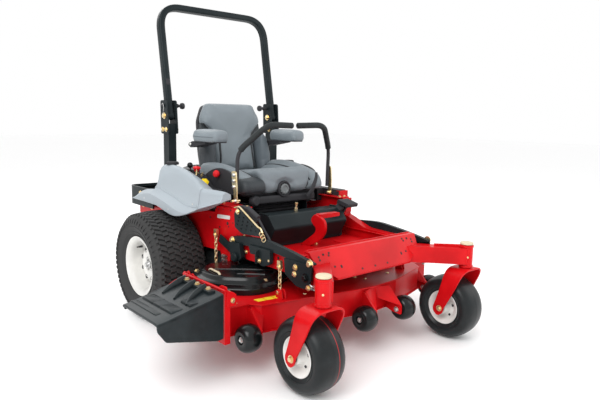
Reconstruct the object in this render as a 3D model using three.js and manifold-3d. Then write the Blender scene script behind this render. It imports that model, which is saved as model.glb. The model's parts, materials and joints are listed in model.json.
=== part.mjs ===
// Zero turn riding mower. Millimetres, +Z up, the machine drives towards -Y, +X is the operator's left.
// Every piece is laid out about the middle plane x = 0 with y = 0 at the drive axle; the last lines
// move the whole machine so that its own box stands centred on the origin.
import * as THREE from 'three';
import { mergeVertices } from 'three/addons/utils/BufferGeometryUtils.js';
import Module from 'manifold-3d';

const wasm = await Module();
wasm.setup();

// ---------------------------------------------------------------- driving dimensions
const TOUCH = 0.3; // gap kept between pieces that touch

const driveWheel = { x: 551, radius: 305, width: 304, bead: 153, flange: 170, rimHalf: 127 };
const casterWheel = { radius: 167, width: 160, bead: 76, flange: 90, rimHalf: 66, trail: 81 };
const casterPivot = { x: 509, y: -1332, top: 512, bottom: 394, radius: 34, bore: 18 };

const rail = { inner: 345, outer: 395 };
const crossmember = { topY: -1094, topZ: 549, bottomY: -1169, bottomZ: 428, tubeBack: -1040 };
const floorTop = 470;

const rops = {
  x: 385, y: 165, width: 50, depth: 64, foot: 600, postTop: 1100, pivotZ: 1146, lean: 10,
  hoopWidth: 38, hoopDepth: 50, hoopHeight: 680,
};
const lever = { x: 330, pivotY: -471, pivotZ: 705, tube: 11, grip: 17 };
const armrest = { x: 284, width: 104, pivotY: 42, pivotZ: 985 };

const deck = { top: 318, bottom: 185, wall: 6, halfWidth: 772, rear: -395 };
const blade = { radius: 256, spacing: 502, outerY: -660, centreY: -820, z: 222 };
const roller = { radius: 63, halfWidth: 44, bore: 10, z: 191 };
const rollerPlaces = {
  right: [-646, -1010],
  centre_right: [-60, -1158],
  centre_left: [219, -1166],
  left: [646, -1010],
};
const hingeBar = { x: -762, z: 412, front: -1000, rear: -662, gap: 6 };

// ---------------------------------------------------------------- colours
const paint = (color, roughness = 0.4, metalness = 0) =>
  () => new THREE.MeshStandardMaterial({ color, roughness, metalness });
const red = paint(0xd3151c, 0.35);
const tankGrey = paint(0xa3adb5, 0.45);
const charcoal = paint(0x2e3335, 0.5);
const black = paint(0x17191a, 0.55);
const vinyl = paint(0x7d868b, 0.6);
const tyreBlack = paint(0x1b1d1e, 0.85);
const rimWhite = paint(0xe4e4de, 0.4);
const zinc = paint(0xcaa858, 0.35, 0.9);
const rubber = paint(0x2b2e2f, 0.8);
const steel = paint(0x8c8f90, 0.35, 0.9);
const engineBlack = paint(0x232526, 0.6);

// ---------------------------------------------------------------- shape helpers
/** Closed outline through corners [u, v, setback]; a setback rounds that corner. */
function outline(corners) {
  const shape = new THREE.Shape();
  const count = corners.length;
  corners.forEach(([u, v, setback = 0], place) => {
    const corner = new THREE.Vector2(u, v);
    const towards = ([otherU, otherV]) => {
      const way = new THREE.Vector2(otherU, otherV).sub(corner);
      return corner.clone().add(way.setLength(Math.min(setback, way.length() * 0.45)));
    };
    const start = towards(corners[(place + count - 1) % count]);
    const end = towards(corners[(place + 1) % count]);
    if (place === 0) shape.moveTo(start.x, start.y);
    else shape.lineTo(start.x, start.y);
    if (setback > 0) shape.quadraticCurveTo(corner.x, corner.y, end.x, end.y);
  });
  shape.closePath();
  return shape;
}

/** Slab of an outline, from low to high along its axis. Outlines read (y, z), (x, z) or (x, y). */
function slab(axis, corners, low, high, curveSegments = 3) {
  const settings = { depth: high - low, bevelEnabled: false, curveSegments };
  const geometry = new THREE.ExtrudeGeometry(outline(corners), settings);
  const [X, Y, Z] = [[1, 0, 0], [0, 1, 0], [0, 0, 1]].map((unit) => new THREE.Vector3(...unit));
  if (axis === 'x') geometry.applyMatrix4(new THREE.Matrix4().makeBasis(Y, Z, X)).translate(low, 0, 0);
  if (axis === 'y') {
    geometry.applyMatrix4(new THREE.Matrix4().makeBasis(X, Z, Y.clone().negate()));
    geometry.translate(0, high, 0);
  }
  if (axis === 'z') geometry.translate(0, 0, low);
  return geometry;
}

/** Box between two opposite corners. */
function block([x0, y0, z0], [x1, y1, z1]) {
  const geometry = new THREE.BoxGeometry(x1 - x0, y1 - y0, z1 - z0);
  return geometry.translate((x0 + x1) / 2, (y0 + y1) / 2, (z0 + z1) / 2);
}

/** Profile [radius, along] turned about an axis through the origin. */
function turned(axis, profile, segments = 24) {
  const points = profile.map(([radius, along]) => new THREE.Vector2(radius, along));
  const geometry = new THREE.LatheGeometry(points, segments);
  if (axis === 'x') geometry.rotateZ(-Math.PI / 2);
  if (axis === 'z') geometry.rotateX(Math.PI / 2);
  return geometry;
}

/** Round bar between two points. */
function bar(from, to, radius, segments = 12) {
  const start = new THREE.Vector3(...from);
  const way = new THREE.Vector3(...to).sub(start);
  const geometry = new THREE.CylinderGeometry(radius, radius, way.length(), segments);
  geometry.translate(0, way.length() / 2, 0);
  const turn = new THREE.Quaternion().setFromUnitVectors(new THREE.Vector3(0, 1, 0), way.normalize());
  return geometry.applyQuaternion(turn).translate(start.x, start.y, start.z);
}

/** Round tube section swept through points, with its bends rounded. */
function bentTube(points, radius, steps, sides = 10) {
  const places = points.map((point) => new THREE.Vector3(...point));
  const path = new THREE.CatmullRomCurve3(places, false, 'centripetal');
  const section = new THREE.Shape();
  section.absarc(0, 0, radius, 0, 2 * Math.PI, false);
  const settings = { steps, extrudePath: path, curveSegments: sides, bevelEnabled: false };
  return new THREE.ExtrudeGeometry(section, settings);
}

/** Six times the signed volume of an indexed mesh. */
function signedVolume(position, index) {
  const [a, b, c] = [new THREE.Vector3(), new THREE.Vector3(), new THREE.Vector3()];
  let sum = 0;
  for (let i = 0; i < index.length; i += 3) {
    a.fromBufferAttribute(position, index[i]);
    b.fromBufferAttribute(position, index[i + 1]);
    c.fromBufferAttribute(position, index[i + 2]);
    sum += a.dot(b.cross(c));
  }
  return sum;
}

/** Same shape with shared vertices, no collapsed triangles and faces pointing out. */
function closed(geometry) {
  const bare = geometry.clone();
  bare.deleteAttribute('normal');
  bare.deleteAttribute('uv');
  const merged = mergeVertices(bare, 1e-3);
  const source = merged.index.array;
  const kept = [];
  for (let i = 0; i < source.length; i += 3) {
    const [a, b, c] = [source[i], source[i + 1], source[i + 2]];
    if (a !== b && b !== c && c !== a) kept.push(a, b, c);
  }
  if (signedVolume(merged.attributes.position, kept) < 0) kept.reverse();
  merged.setIndex(kept);
  return merged;
}

/** Manifold solid of a geometry. */
function solidOf(geometry) {
  const merged = closed(geometry);
  return new wasm.Manifold(new wasm.Mesh({
    numProp: 3,
    vertProperties: Float32Array.from(merged.attributes.position.array),
    triVerts: Uint32Array.from(merged.index.array),
  }));
}

/** Geometry of a manifold solid. */
function geometryOf(solid) {
  const mesh = solid.getMesh();
  const geometry = new THREE.BufferGeometry();
  geometry.setAttribute('position', new THREE.BufferAttribute(mesh.vertProperties, 3));
  geometry.setIndex(new THREE.BufferAttribute(mesh.triVerts, 1));
  return geometry;
}

const join = (first, ...rest) =>
  geometryOf(rest.reduce((sum, geometry) => sum.add(solidOf(geometry)), solidOf(first)));
const cut = (body, ...tools) =>
  geometryOf(tools.reduce((left, tool) => left.subtract(solidOf(tool)), solidOf(body)));
const common = (first, second) => geometryOf(solidOf(first).intersect(solidOf(second)));

/** Cuts a body back from a neighbour so that the touching gap is left all round it. */
function clearOf(body, neighbour, gap = TOUCH) {
  const shifts = [[1, 0, 0], [-1, 0, 0], [0, 1, 0], [0, -1, 0], [0, 0, 1], [0, 0, -1]];
  const tools = shifts.map(([x, y, z]) => neighbour.clone().translate(x * gap, y * gap, z * gap));
  return cut(body, neighbour, ...tools);
}

/** Mirror image in the middle plane. */
const mirrored = (geometry) => closed(geometry.clone().scale(-1, 1, 1));

/** Named mesh put into its group. */
function part(parent, name, geometry, material) {
  const finished = closed(geometry);
  finished.computeVertexNormals();
  const mesh = new THREE.Mesh(finished, material());
  mesh.name = name;
  parent.add(mesh);
  return mesh;
}

/** Adds a piece drawn on the operator's right, and its mirror image on the left. */
function pair(parent, name, geometry, material) {
  part(parent, `${name}_right`, geometry, material);
  part(parent, `${name}_left`, mirrored(geometry), material);
}

const mower = new THREE.Group();

// ---------------------------------------------------------------- main frame
/** Side rail of the right-hand side, with the raised box that carries the lever and the lift. */
function frameRail() {
  const side = [
    [575, 510], [575, 590], [380, 600], [-345, 636], [-365, 672, 8], [-588, 683, 8], [-606, 584],
    [-640, 574], [-770, 527, 20], [-1036, 518], [-1036, 432], [-640, 432], [-560, 490], [-500, 440],
    [-486, 372, 8], [-420, 372, 8], [-400, 430], [-120, 420], [330, 430], [440, 500],
  ];
  return slab('x', side, -rail.outer, -rail.inner);
}

/** Sloping front plate on a cross tube between the rails. */
function frontCrossmember() {
  const { topY, topZ, bottomY, bottomZ, tubeBack } = crossmember;
  const section = [
    [topY, topZ], [bottomY, bottomZ], [bottomY + 16, bottomZ - 12], [tubeBack, bottomZ - 12],
    [tubeBack, bottomZ + 68], [bottomY + 62, bottomZ + 72], [topY + 12, topZ - 8], [topY + 34, topZ - 8],
    [topY + 34, topZ],
  ];
  const face = [
    [-376, topZ + 1], [-364, 500], [-262, bottomZ], [-262, 380], [262, 380], [262, bottomZ],
    [364, 500], [376, topZ + 1],
  ];
  return common(slab('x', section, -380, 380), slab('y', face, bottomY - 10, tubeBack + 10));
}

/** Box arm from the crossmember to the pivot barrel, on the right. */
function casterArm() {
  const { x, y, top, bottom, radius, bore } = casterPivot;
  const plan = [
    [-300, -1062], [-372, -1062], [-372, -1110], [-x - 26, y - 14], [-x + 32, y - 26], [-268, -1118],
  ];
  const arm = slab('z', plan, 414, 498);
  const gusset = slab('z', [[-420, -1222], [-x - 18, y + 10], [-x + 18, y + 10], [-402, -1205]], 497, 510);
  const barrel = new THREE.CylinderGeometry(radius, radius, top - bottom, 24);
  barrel.rotateX(Math.PI / 2).translate(-x, y, (top + bottom) / 2);
  const hole = new THREE.CylinderGeometry(bore, bore, 200, 20);
  hole.rotateX(Math.PI / 2).translate(-x, y, (top + bottom) / 2);
  return cut(clearOf(join(arm, gusset, barrel), frontCrossmember()), hole);
}

/** Floor pan between the rails, under the operator's feet. */
function floorPan() {
  const plan = [
    [-rail.inner + TOUCH, -560], [rail.inner - TOUCH, -560], [rail.inner - TOUCH, -1036],
    [-rail.inner + TOUCH, -1036],
  ];
  return slab('z', plan, floorTop - 6, floorTop);
}

const frame = new THREE.Group();
mower.add(frame);
pair(frame, 'frame_rail', frameRail(), red);
part(frame, 'front_crossmember', frontCrossmember(), red);
pair(frame, 'caster_arm', casterArm(), red);
part(frame, 'floor_pan', floorPan(), red);

/** Rear cross plate between the ends of the rails. */
function rearBumper() {
  const reach = rail.inner - TOUCH;
  return block([-reach, 560, 500], [reach, 580, 556]);
}

/** Guard of flat plate round the back of the engine. */
function engineGuard() {
  const plan = [
    [-424, 330], [-424, 640, 30], [-394, 690, 30], [394, 690, 30], [424, 640, 30], [424, 330],
    [412, 330], [412, 632, 24], [388, 678, 24], [-388, 678, 24], [-412, 632, 24], [-412, 330],
  ];
  const tie = block([-413, 530, 566], [-rail.outer - TOUCH, 560, 586]);
  return join(slab('z', plan, 564, 684), tie, mirrored(tie));
}
part(frame, 'rear_bumper', rearBumper(), red);
part(frame, 'engine_guard', engineGuard(), charcoal);

// ---------------------------------------------------------------- engine
/** Engine block with its round fan housing, as one body. */
function engine() {
  const body = slab('y', [
    [-250, 470], [-250, 640, 40], [-150, 720, 30], [150, 720, 30], [250, 640, 40], [250, 470],
  ], 210, 556);
  const fan = turned('z', [[0, 700], [155, 700], [170, 716], [170, 800], [120, 835], [0, 835]], 24);
  return join(body, fan.translate(0, 383, 0));
}
part(frame, 'engine', engine(), engineBlack);

// ---------------------------------------------------------------- roll-over bar
/** Lower post with the two pivot plates at its top, on the right. */
function ropsPost() {
  const half = { width: rops.width / 2, depth: rops.depth / 2 };
  const post = block(
    [-rops.x - half.width, rops.y - half.depth, rops.foot],
    [-rops.x + half.width, rops.y + half.depth, rops.postTop],
  );
  const cheek = [
    [rops.y - 46, 1040, 14], [rops.y + 46, 1040, 14], [rops.y + 52, 1238, 16], [rops.y - 30, 1238, 16],
  ];
  const plates = [-1, 1].map((way) => {
    const near = -rops.x + way * (half.width - 1);
    const far = -rops.x + way * (half.width + 8);
    return slab('x', cheek, Math.min(near, far), Math.max(near, far));
  });
  const slot = block(
    [-rops.x - half.width, rops.y - 80, rops.postTop], [-rops.x + half.width, rops.y + 80, 1300],
  );
  return clearOf(cut(join(post, ...plates), slot), frameRail());
}

/** Folding hoop, drawn upright about its pivot and leaned back by its mesh. */
function ropsHoop() {
  const { hoopWidth: width, hoopHeight: height } = rops;
  const half = rops.hoopDepth / 2;
  const outer = rops.x + width / 2;
  const inner = rops.x - width / 2;
  const arch = [
    [-outer, 0], [-outer, height, 165], [outer, height, 165], [outer, 0],
    [inner, 0], [inner, height - width, 125], [-inner, height - width, 125], [-inner, 0],
  ];
  const hoop = slab('y', arch, -half, half, 6);
  const end = (side) => {
    const knuckle = turned('x', [[0, inner], [half, inner], [half, outer], [0, outer]], 20);
    return side > 0 ? knuckle : mirrored(knuckle);
  };
  return join(hoop, end(-1), end(1));
}
pair(frame, 'rops_post', ropsPost(), charcoal);
const hoop = part(mower, 'rops_hoop', ropsHoop(), charcoal);
hoop.position.set(0, rops.y, rops.pivotZ);
hoop.rotation.x = -THREE.MathUtils.degToRad(rops.lean);

// ---------------------------------------------------------------- tank fenders and consoles
const tank = { inner: 416, outer: 572 };
const lipWidth = 16;

/** Moulded tank over the right drive wheel: hood, flared fender lip, and a front third that turns in. */
function rightTank() {
  const lip = [
    [309, 648], [309, 655], [191, 708, 30], [72, 724, 40], [-41, 708, 30], [-231, 668, 20], [-380, 654],
    [-302, 625, 30], [-201, 606, 40], [-116, 622, 20], [2, 644, 20], [173, 647],
  ];
  const hood = [
    [70, 716], [62, 800], [50, 866, 24], [-110, 878, 60], [-190, 858, 30], [-290, 830, 30], [-390, 788, 40],
    [-560, 778, 16], [-566, 722, 16], [-456, 681, 20], [-372, 655], [-201, 622], [0, 660],
  ];
  const whole = join(
    slab('x', lip, -tank.outer, -tank.inner),
    slab('x', hood, lipWidth - tank.outer, -tank.inner),
  );
  const slant = [[-700, -420], [-580, -420], [-560, -445], [-455, -566], [-455, -700], [-700, -700]];
  return cut(whole, slab('z', slant, 500, 1000));
}

/** Shorter tank over the left drive wheel, which starts behind the seat's middle. */
function leftTank() {
  const side = [
    [309, 648], [309, 655], [191, 708, 30], [128, 800, 20], [110, 850, 30], [20, 822, 50],
    [-60, 738, 40], [-185, 712, 16], [-185, 676, 12], [-100, 650, 40], [173, 647, 30],
  ];
  return slab('x', side, tank.inner, tank.outer);
}

/** Control console between the seat and the right tank. */
function rightConsole() {
  const side = [
    [-366, 650, 10], [-374, 800, 20], [-340, 858, 30], [-180, 864, 20], [-70, 800, 30], [-60, 650, 10],
  ];
  return clearOf(slab('x', side, -412, -308), frameRail());
}

/** Low battery box on the left rail; its front part passes outside the lever bracket. */
function leftConsole() {
  const plan = [[308, -60], [412, -60], [412, -540], [358, -540], [358, -400], [308, -400]];
  return clearOf(slab('z', plan, 648, 715), mirrored(frameRail()));
}
part(frame, 'fuel_tank_right', rightTank(), tankGrey);
part(frame, 'fuel_tank_left', leftTank(), tankGrey);
part(frame, 'console_right', rightConsole(), black);
part(frame, 'console_left', leftConsole(), black);

// ---------------------------------------------------------------- seat
/** Folded black panel in front of the seat. */
function seatPanel() {
  const side = [
    [-560, 640], [-650, 640, 8], [-704, 574, 10], [-650, 486, 10], [-648, 472], [-560, 472],
  ];
  return slab('x', side, -264, 264);
}

/** Suspension box and the pan under the cushion. */
function seatBase() {
  const box = block([-170, -420, 560], [170, -40, 737.5]);
  const pan = slab('z', [[-222, -462, 50], [222, -462, 50], [222, 20, 30], [-222, 20, 30]], 670, 714);
  return join(box, pan);
}

/** Seat cushion, crowned at the front. */
function seatCushion() {
  const side = [
    [-470, 738, 20], [-486, 816, 40], [-448, 874, 40], [-250, 892, 60], [-20, 874, 20], [0, 738, 10],
  ];
  const plan = [[-298, -488, 80], [298, -488, 80], [284, 10, 20], [-284, 10, 20]];
  return common(slab('x', side, -300, 300), slab('z', plan, 700, 950));
}

/** Seat back, leaned over the rear of the cushion. */
function seatBack() {
  const face = [
    [-222, 0, 20], [-236, 40, 20], [-236, 90, 20], [-216, 130, 20], [-222, 235, 30], [-218, 290, 20],
    [-174, 388, 24], [174, 388, 24], [218, 290, 20], [222, 235, 30], [216, 130, 20], [236, 90, 20],
    [236, 40, 20], [222, 0, 20],
  ];
  const side = [[0, 0, 10], [0, 300, 60], [18, 390, 20], [92, 390, 20], [118, 200, 60], [118, 0, 10]];
  return common(slab('y', face, -10, 130), slab('x', side, -260, 260));
}

/** Padded armrest with its bracket, on the right, drawn about its pivot. */
function armRest() {
  const half = armrest.width / 2;
  const pad = slab('x', [[-297, 16, 14], [-297, 82, 24], [-46, 84, 24], [-42, 16, 10]], -half, half);
  const wedge = [[-150, 17], [-170, 4], [6, -24, 12], [22, 0, 12], [-20, 17]];
  const bracket = slab('x', wedge, -half + 14, half - 4);
  const boss = bar([half - 8, 0, 0], [half + 7, 0, 0], 16, 14);
  return join(pad, bracket, boss);
}
part(frame, 'seat_panel', seatPanel(), black);
part(frame, 'seat_base', seatBase(), black);
part(frame, 'seat_cushion', seatCushion(), vinyl);
const back = part(frame, 'seat_back', seatBack(), vinyl);
back.position.set(0, 12, 846);
back.rotation.x = -THREE.MathUtils.degToRad(9);
for (const [name, side] of [['right', -1], ['left', 1]]) {
  const shape = side < 0 ? armRest() : mirrored(armRest());
  const rest = part(mower, `armrest_${name}`, shape, vinyl);
  rest.position.set(side * armrest.x, armrest.pivotY, armrest.pivotZ);
}

// ---------------------------------------------------------------- control levers
/** Lever tube with its padded grip, on the right, in machine coordinates. */
function leverTube() {
  const { x, pivotY, tube, grip } = lever;
  const upright = bar([-x, pivotY + 10, 742], [-x, pivotY + 5, 962], tube, 8);
  const grips = bentTube([
    [-x, pivotY + 5, 950], [-x + 4, pivotY, 974], [-266, pivotY - 45, 1036], [-218, pivotY - 78, 1088],
    [-184, pivotY - 88, 1108], [-20, pivotY - 68, 1104],
  ], grip, 14, 8);
  return join(upright, grips);
}

/** Zinc-plated bracket that carries the lever tube, on the right. */
function leverBracket() {
  const { x, pivotY, pivotZ, tube } = lever;
  const side = [
    [pivotY - 14, pivotZ - 16, 8], [pivotY + 14, pivotZ - 16, 8], [pivotY + 26, 770], [pivotY + 34, 858, 8],
    [pivotY - 8, 858, 8], [pivotY - 12, 770],
  ];
  const plate = slab('x', side, -x - tube - 8, -x - tube - TOUCH);
  const pin = bar([-x - tube - 4, pivotY, pivotZ], [-x + 30, pivotY, pivotZ], 8);
  return join(plate, pin);
}
for (const [name, flip] of [['right', (shape) => shape], ['left', mirrored]]) {
  part(mower, `lever_${name}`, flip(leverTube()), black);
  part(mower, `lever_bracket_${name}`, flip(leverBracket()), zinc);
}

// ---------------------------------------------------------------- foot controls
/** Cranked red pedal lever for the deck lift. */
function pedalArm() {
  const foot = floorTop + TOUCH;
  const side = [
    [-667, foot], [-785, 551, 16], [-791, 579, 10], [-758, 600, 10], [-751, 626, 10], [-782, 652, 10],
    [-859, 624, 20], [-864, 568, 20], [-825, 518, 10], [-745, foot],
  ];
  const arm = slab('x', side, -58, -46);
  const tread = block([-47, -812, 628], [95, -774, 652]);
  return join(arm, tread);
}

/** Black foot pad on its bent arm. */
function footPad() {
  const foot = floorTop + TOUCH;
  const arm = slab('x', [[-612, foot], [-644, foot], [-644, 590, 20], [-700, 664], [-660, 674]], 270, 286);
  const pad = slab('x', [[-652, 670, 8], [-740, 652, 8], [-746, 676, 8], [-658, 698, 8]], 225, 308);
  return join(arm, pad);
}
part(frame, 'pedal_arm', pedalArm(), red);
part(frame, 'foot_pad', footPad(), black);

// ---------------------------------------------------------------- side struts and height plate
/** Arched flat strut with the plate at its front end, on the right. */
function sideStrut() {
  const x = -rail.outer - TOUCH;
  const arch = [
    [-530, 502, 12], [-548, 538, 12], [-620, 551, 30], [-820, 568, 60], [-1025, 544, 40], [-1166, 520, 8],
    [-1168, 511, 8], [-1069, 489, 20], [-983, 511, 40], [-840, 520, 60], [-699, 512, 40], [-578, 504, 20],
  ];
  const gusset = [[-976, 508], [-1167, 514], [-1163, 444], [-1125, 396, 12], [-1063, 398, 12], [-985, 437]];
  return join(slab('x', arch, x - 22, x), slab('x', gusset, x - 29, x - 21));
}

/** Plate with rows of pin holes for the cutting height, on the right rail. */
function heightPlate() {
  const side = [
    [-577, 663, 6], [-615, 702, 6], [-632, 684], [-778, 611, 8], [-803, 579, 8], [-647, 568, 8],
    [-583, 592, 8],
  ];
  const plate = slab('x', side, -rail.outer - 32, -rail.outer - 24);
  const stand = block([-rail.outer - 25, -605, 600], [-rail.outer - TOUCH, -586, 616]);
  const tie = block([-rail.outer - 25, -588, 650], [-rail.outer - TOUCH, -580, 668]);
  const rows = [[-628, 668, 5], [-621, 648, 4], [-614, 629, 3], [-606, 609, 2]];
  const holes = rows.flatMap(([startY, startZ, count]) => [...Array(count).keys()].map((step) => {
    const [y, z] = [startY - step * 34, startZ - step * 17];
    return bar([-rail.outer - 60, y, z], [-rail.outer - 20, y, z], 6, 8);
  }));
  return cut(join(plate, stand, tie), ...holes);
}
pair(frame, 'side_strut', sideStrut(), charcoal);
part(frame, 'height_plate', heightPlate(), charcoal);

// ---------------------------------------------------------------- drive wheels
/** Wheel motor and axle between the rail and a wheel, drawn about the wheel centre. */
function wheelMotor() {
  const railSide = rail.outer + 1 - driveWheel.x;
  return turned('x', [
    [0, 50], [62, 50], [62, 30], [40, 30], [40, -60], [84, -60], [84, -130], [104, -130], [104, railSide],
    [0, railSide],
  ], 16);
}

/** Tyre section turned about the axle: flat tread, round shoulders, bulged sides. */
function tyre({ radius, width, bead, flange, rimHalf }, shoulder, segments) {
  const half = width / 2;
  const side = [
    [bead, rimHalf - 24], [flange + 2, rimHalf - 10], [(flange + radius) / 2, half],
    [radius - shoulder, half - 4], [radius - shoulder * 0.3, half - shoulder * 0.34],
    [radius, half - shoulder],
  ];
  const other = side.map(([r, along]) => [r, -along]).reverse();
  return turned('x', [...side, ...other, side[0]], segments);
}

/** Drive rim turned about the axle: rolled flanges, barrel and a dished centre disc. */
function driveRim({ bead, flange, rimHalf }, web, hub, segments) {
  const barrel = bead - TOUCH;
  return turned('x', [
    [0, web], [hub, web], [barrel - 14, web + 6], [barrel - 6, rimHalf - 6], [flange, rimHalf],
    [flange, rimHalf - 6], [barrel, rimHalf - 12], [barrel, 12 - rimHalf], [flange, 6 - rimHalf],
    [flange, -rimHalf], [barrel - 6, 6 - rimHalf], [barrel - 6, web - 8], [0, web - 8],
  ], segments);
}

for (const [name, side] of [['right', -1], ['left', 1]]) {
  const wheel = new THREE.Group();
  wheel.position.set(side * driveWheel.x, 0, driveWheel.radius);
  wheel.rotation.y = side < 0 ? Math.PI : 0;
  mower.add(wheel);
  part(wheel, `drive_tyre_${name}`, tyre(driveWheel, 46, 32), tyreBlack);
  part(wheel, `drive_rim_${name}`, driveRim(driveWheel, 62, 60, 32), rimWhite);
  part(wheel, `wheel_motor_${name}`, wheelMotor(), charcoal);
}

// ---------------------------------------------------------------- casters
/** Fork drawn about its pivot axis with the machine's own heights. */
function casterFork() {
  const { bottom, top, bore } = casterPivot;
  const { radius, width, trail } = casterWheel;
  const inside = width / 2 + 8;
  const crown = bottom - 1;
  const front = [
    [-inside - 8, 120], [-inside - 8, crown, 62], [inside + 8, crown, 62], [inside + 8, 120],
    [inside, 120], [inside, crown - 10, 54], [-inside, crown - 10, 54], [-inside, 120],
  ];
  const side = [
    [-58, crown + 1], [62, crown + 1], [84, 330, 20], [trail + 36, radius - 10, 24],
    [trail - 20, radius - 36, 24], [-20, 320, 30],
  ];
  const yoke = common(slab('y', front, -120, 200, 4), slab('x', side, -140, 140));
  const stem = turned('z', [
    [0, crown - 4], [bore - 1, crown - 4], [bore - 1, top + 2], [30, top + 2], [30, top + 9],
    [10, top + 14],
    [0, top + 14],
  ], 20);
  const axle = bar([-inside - 12, trail, radius], [inside + 12, trail, radius], 9, 12);
  return join(yoke, stem, axle);
}

/** Caster rim with a bore for its axle. */
function casterRim() {
  const { width, bead, flange, rimHalf } = casterWheel;
  const half = width / 2;
  const barrel = bead - TOUCH;
  return turned('x', [
    [10, half], [26, half], [26, 24], [barrel - 8, 24], [barrel - 6, rimHalf - 6], [flange, rimHalf],
    [flange, rimHalf - 6], [barrel, rimHalf - 12], [barrel, 12 - rimHalf], [flange, 6 - rimHalf],
    [flange, -rimHalf], [barrel - 6, 6 - rimHalf], [barrel - 8, -24], [26, -24], [26, -half],
    [10, -half], [10, half],
  ], 24);
}

for (const [name, side] of [['right', -1], ['left', 1]]) {
  const swivel = new THREE.Group();
  swivel.position.set(side * casterPivot.x, casterPivot.y, 0);
  mower.add(swivel);
  part(swivel, `caster_fork_${name}`, casterFork(), red);
  const wheel = new THREE.Group();
  wheel.position.set(0, casterWheel.trail, casterWheel.radius);
  swivel.add(wheel);
  part(wheel, `caster_tyre_${name}`, tyre(casterWheel, 40, 24), tyreBlack);
  part(wheel, `caster_rim_${name}`, casterRim(), rimWhite);
}

// ---------------------------------------------------------------- cutting deck
/** Plan outline of the deck, drawn in by the given amount. */
function deckPlan(inset = 0) {
  const side = deck.halfWidth - inset;
  const rear = deck.rear - inset;
  return [
    [-side, -880 + inset], [-706, -930 + inset], [-588, -934 + inset], [-556, -984 + inset],
    [-360, -1020 + inset], [-60, -1084 + inset], [70, -1100 + inset], [250, -1086 + inset],
    [556, -996 + inset], [588, -934 + inset], [706, -930 + inset], [side, -880 + inset],
    [side, rear - 90], [side - 110, rear], [-side + 110, rear], [-side, rear - 90],
  ];
}

/** Deck: pressed shell, discharge gap, hinge bar, spindles and roller axles. */
function deckShell() {
  const outer = slab('z', deckPlan(), deck.bottom, deck.top);
  const inner = slab('z', deckPlan(deck.wall), deck.bottom - 10, deck.top - deck.wall);
  const gap = block(
    [-deck.halfWidth - 20, -860, deck.bottom - 10],
    [-deck.halfWidth + 40, -520, deck.top - 40],
  );
  const shell = cut(outer, inner, gap);
  const lip = block([-deck.halfWidth, -880, deck.top - 46], [-deck.halfWidth + 8, -500, deck.top - 2]);
  const stand = slab('x', [
    [hingeBar.front, deck.top - 30], [hingeBar.front, hingeBar.z + 6, 8],
    [hingeBar.rear, hingeBar.z + 6, 8],
    [hingeBar.rear + 60, deck.top - 4],
  ], hingeBar.x, hingeBar.x + 8);
  const standFoot = block([hingeBar.x, -900, deck.top - 5], [-690, -520, deck.top + 4]);
  const front = block([hingeBar.x, hingeBar.front, deck.bottom], [-734, hingeBar.front + 8, deck.top + 40]);
  const frontTie = block([hingeBar.x, hingeBar.front, deck.bottom], [hingeBar.x + 8, -870, deck.top]);
  const spindles = spindlePlaces().map(([x, y]) => {
    const post = turned('z', [[0, blade.z + 8], [34, blade.z + 8], [34, 300], [60, 314], [0, 314]], 16);
    return post.translate(x, y, 0);
  });
  const ears = Object.values(rollerPlaces).map(([x, y]) => {
    const inward = x < 0 ? 1 : -1;
    const near = x + inward * (roller.halfWidth + 3);
    const far = x + inward * (roller.halfWidth + 10);
    const side = [
      [y - 30, roller.z - 22, 10], [y - 30, roller.z + 26, 10],
      [y + 50, deck.top - 20], [y + 82, deck.top - 20],
      [y + 82, deck.bottom + 4], [y + 30, deck.bottom - 10],
    ];
    const axleEnd = x - inward * (roller.halfWidth - 4);
    const axle = bar([axleEnd, y, roller.z], [far, y, roller.z], roller.bore - 1.5, 10);
    return cut(join(slab('x', side, Math.min(near, far), Math.max(near, far)), axle), inner);
  });
  return join(shell, lip, stand, standFoot, front, frontTie, ...spindles, ...ears);
}

/** Spindle centres in plan. */
function spindlePlaces() {
  return [[-blade.spacing, blade.outerY], [0, blade.centreY], [blade.spacing, blade.outerY]];
}

/** Belt cover on the right end of the deck. */
function beltCover() {
  const plan = [
    [-660, -560, 60], [-590, -455, 60], [-430, -462, 40], [-190, -600, 30], [-190, -730, 30],
    [-396, -872, 50], [-520, -866, 50], [-660, -720, 60],
  ];
  const low = slab('z', plan, deck.top + TOUCH, 372, 4);
  const [middleX, middleY, share] = [-430, -660, 0.9];
  const crown = plan.map(([x, y, setback]) =>
    [middleX + (x - middleX) * share, middleY + (y - middleY) * share, setback]);
  const high = slab('z', crown, 371, 398, 4);
  return join(low, high);
}

/** Hinged rubber deflector: sloping top, front wall and a short rear lip. */
function chute() {
  const inside = hingeBar.x - hingeBar.gap;
  const slope = [[inside, 416], [-1100, 372], [-1100, 362], [inside, 404]];
  const plan = [[inside, -664], [-1100, -749], [-1100, -1057], [inside, -1003]];
  const top = common(slab('y', slope, -1060, -660), slab('z', plan, 300, 500));
  const wallPlan = [[inside, -1003], [-1100, -1057], [-1100, -1047], [inside, -993]];
  const wallFace = [
    [inside, 410], [-1100, 367], [-1098, 335], [-1040, 279, 20], [-800, 212, 20], [inside, 214],
  ];
  const wall = common(slab('z', wallPlan, 200, 500), slab('y', wallFace, -1100, -900));
  const backPlan = [[inside, -674], [-1100, -759], [-1100, -749], [inside, -664]];
  const backFace = [[inside, 410], [-1100, 367], [-1090, 345], [inside, 350]];
  const lip = common(slab('z', backPlan, 300, 500), slab('y', backFace, -800, -600));
  return join(top, wall, lip);
}

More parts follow.
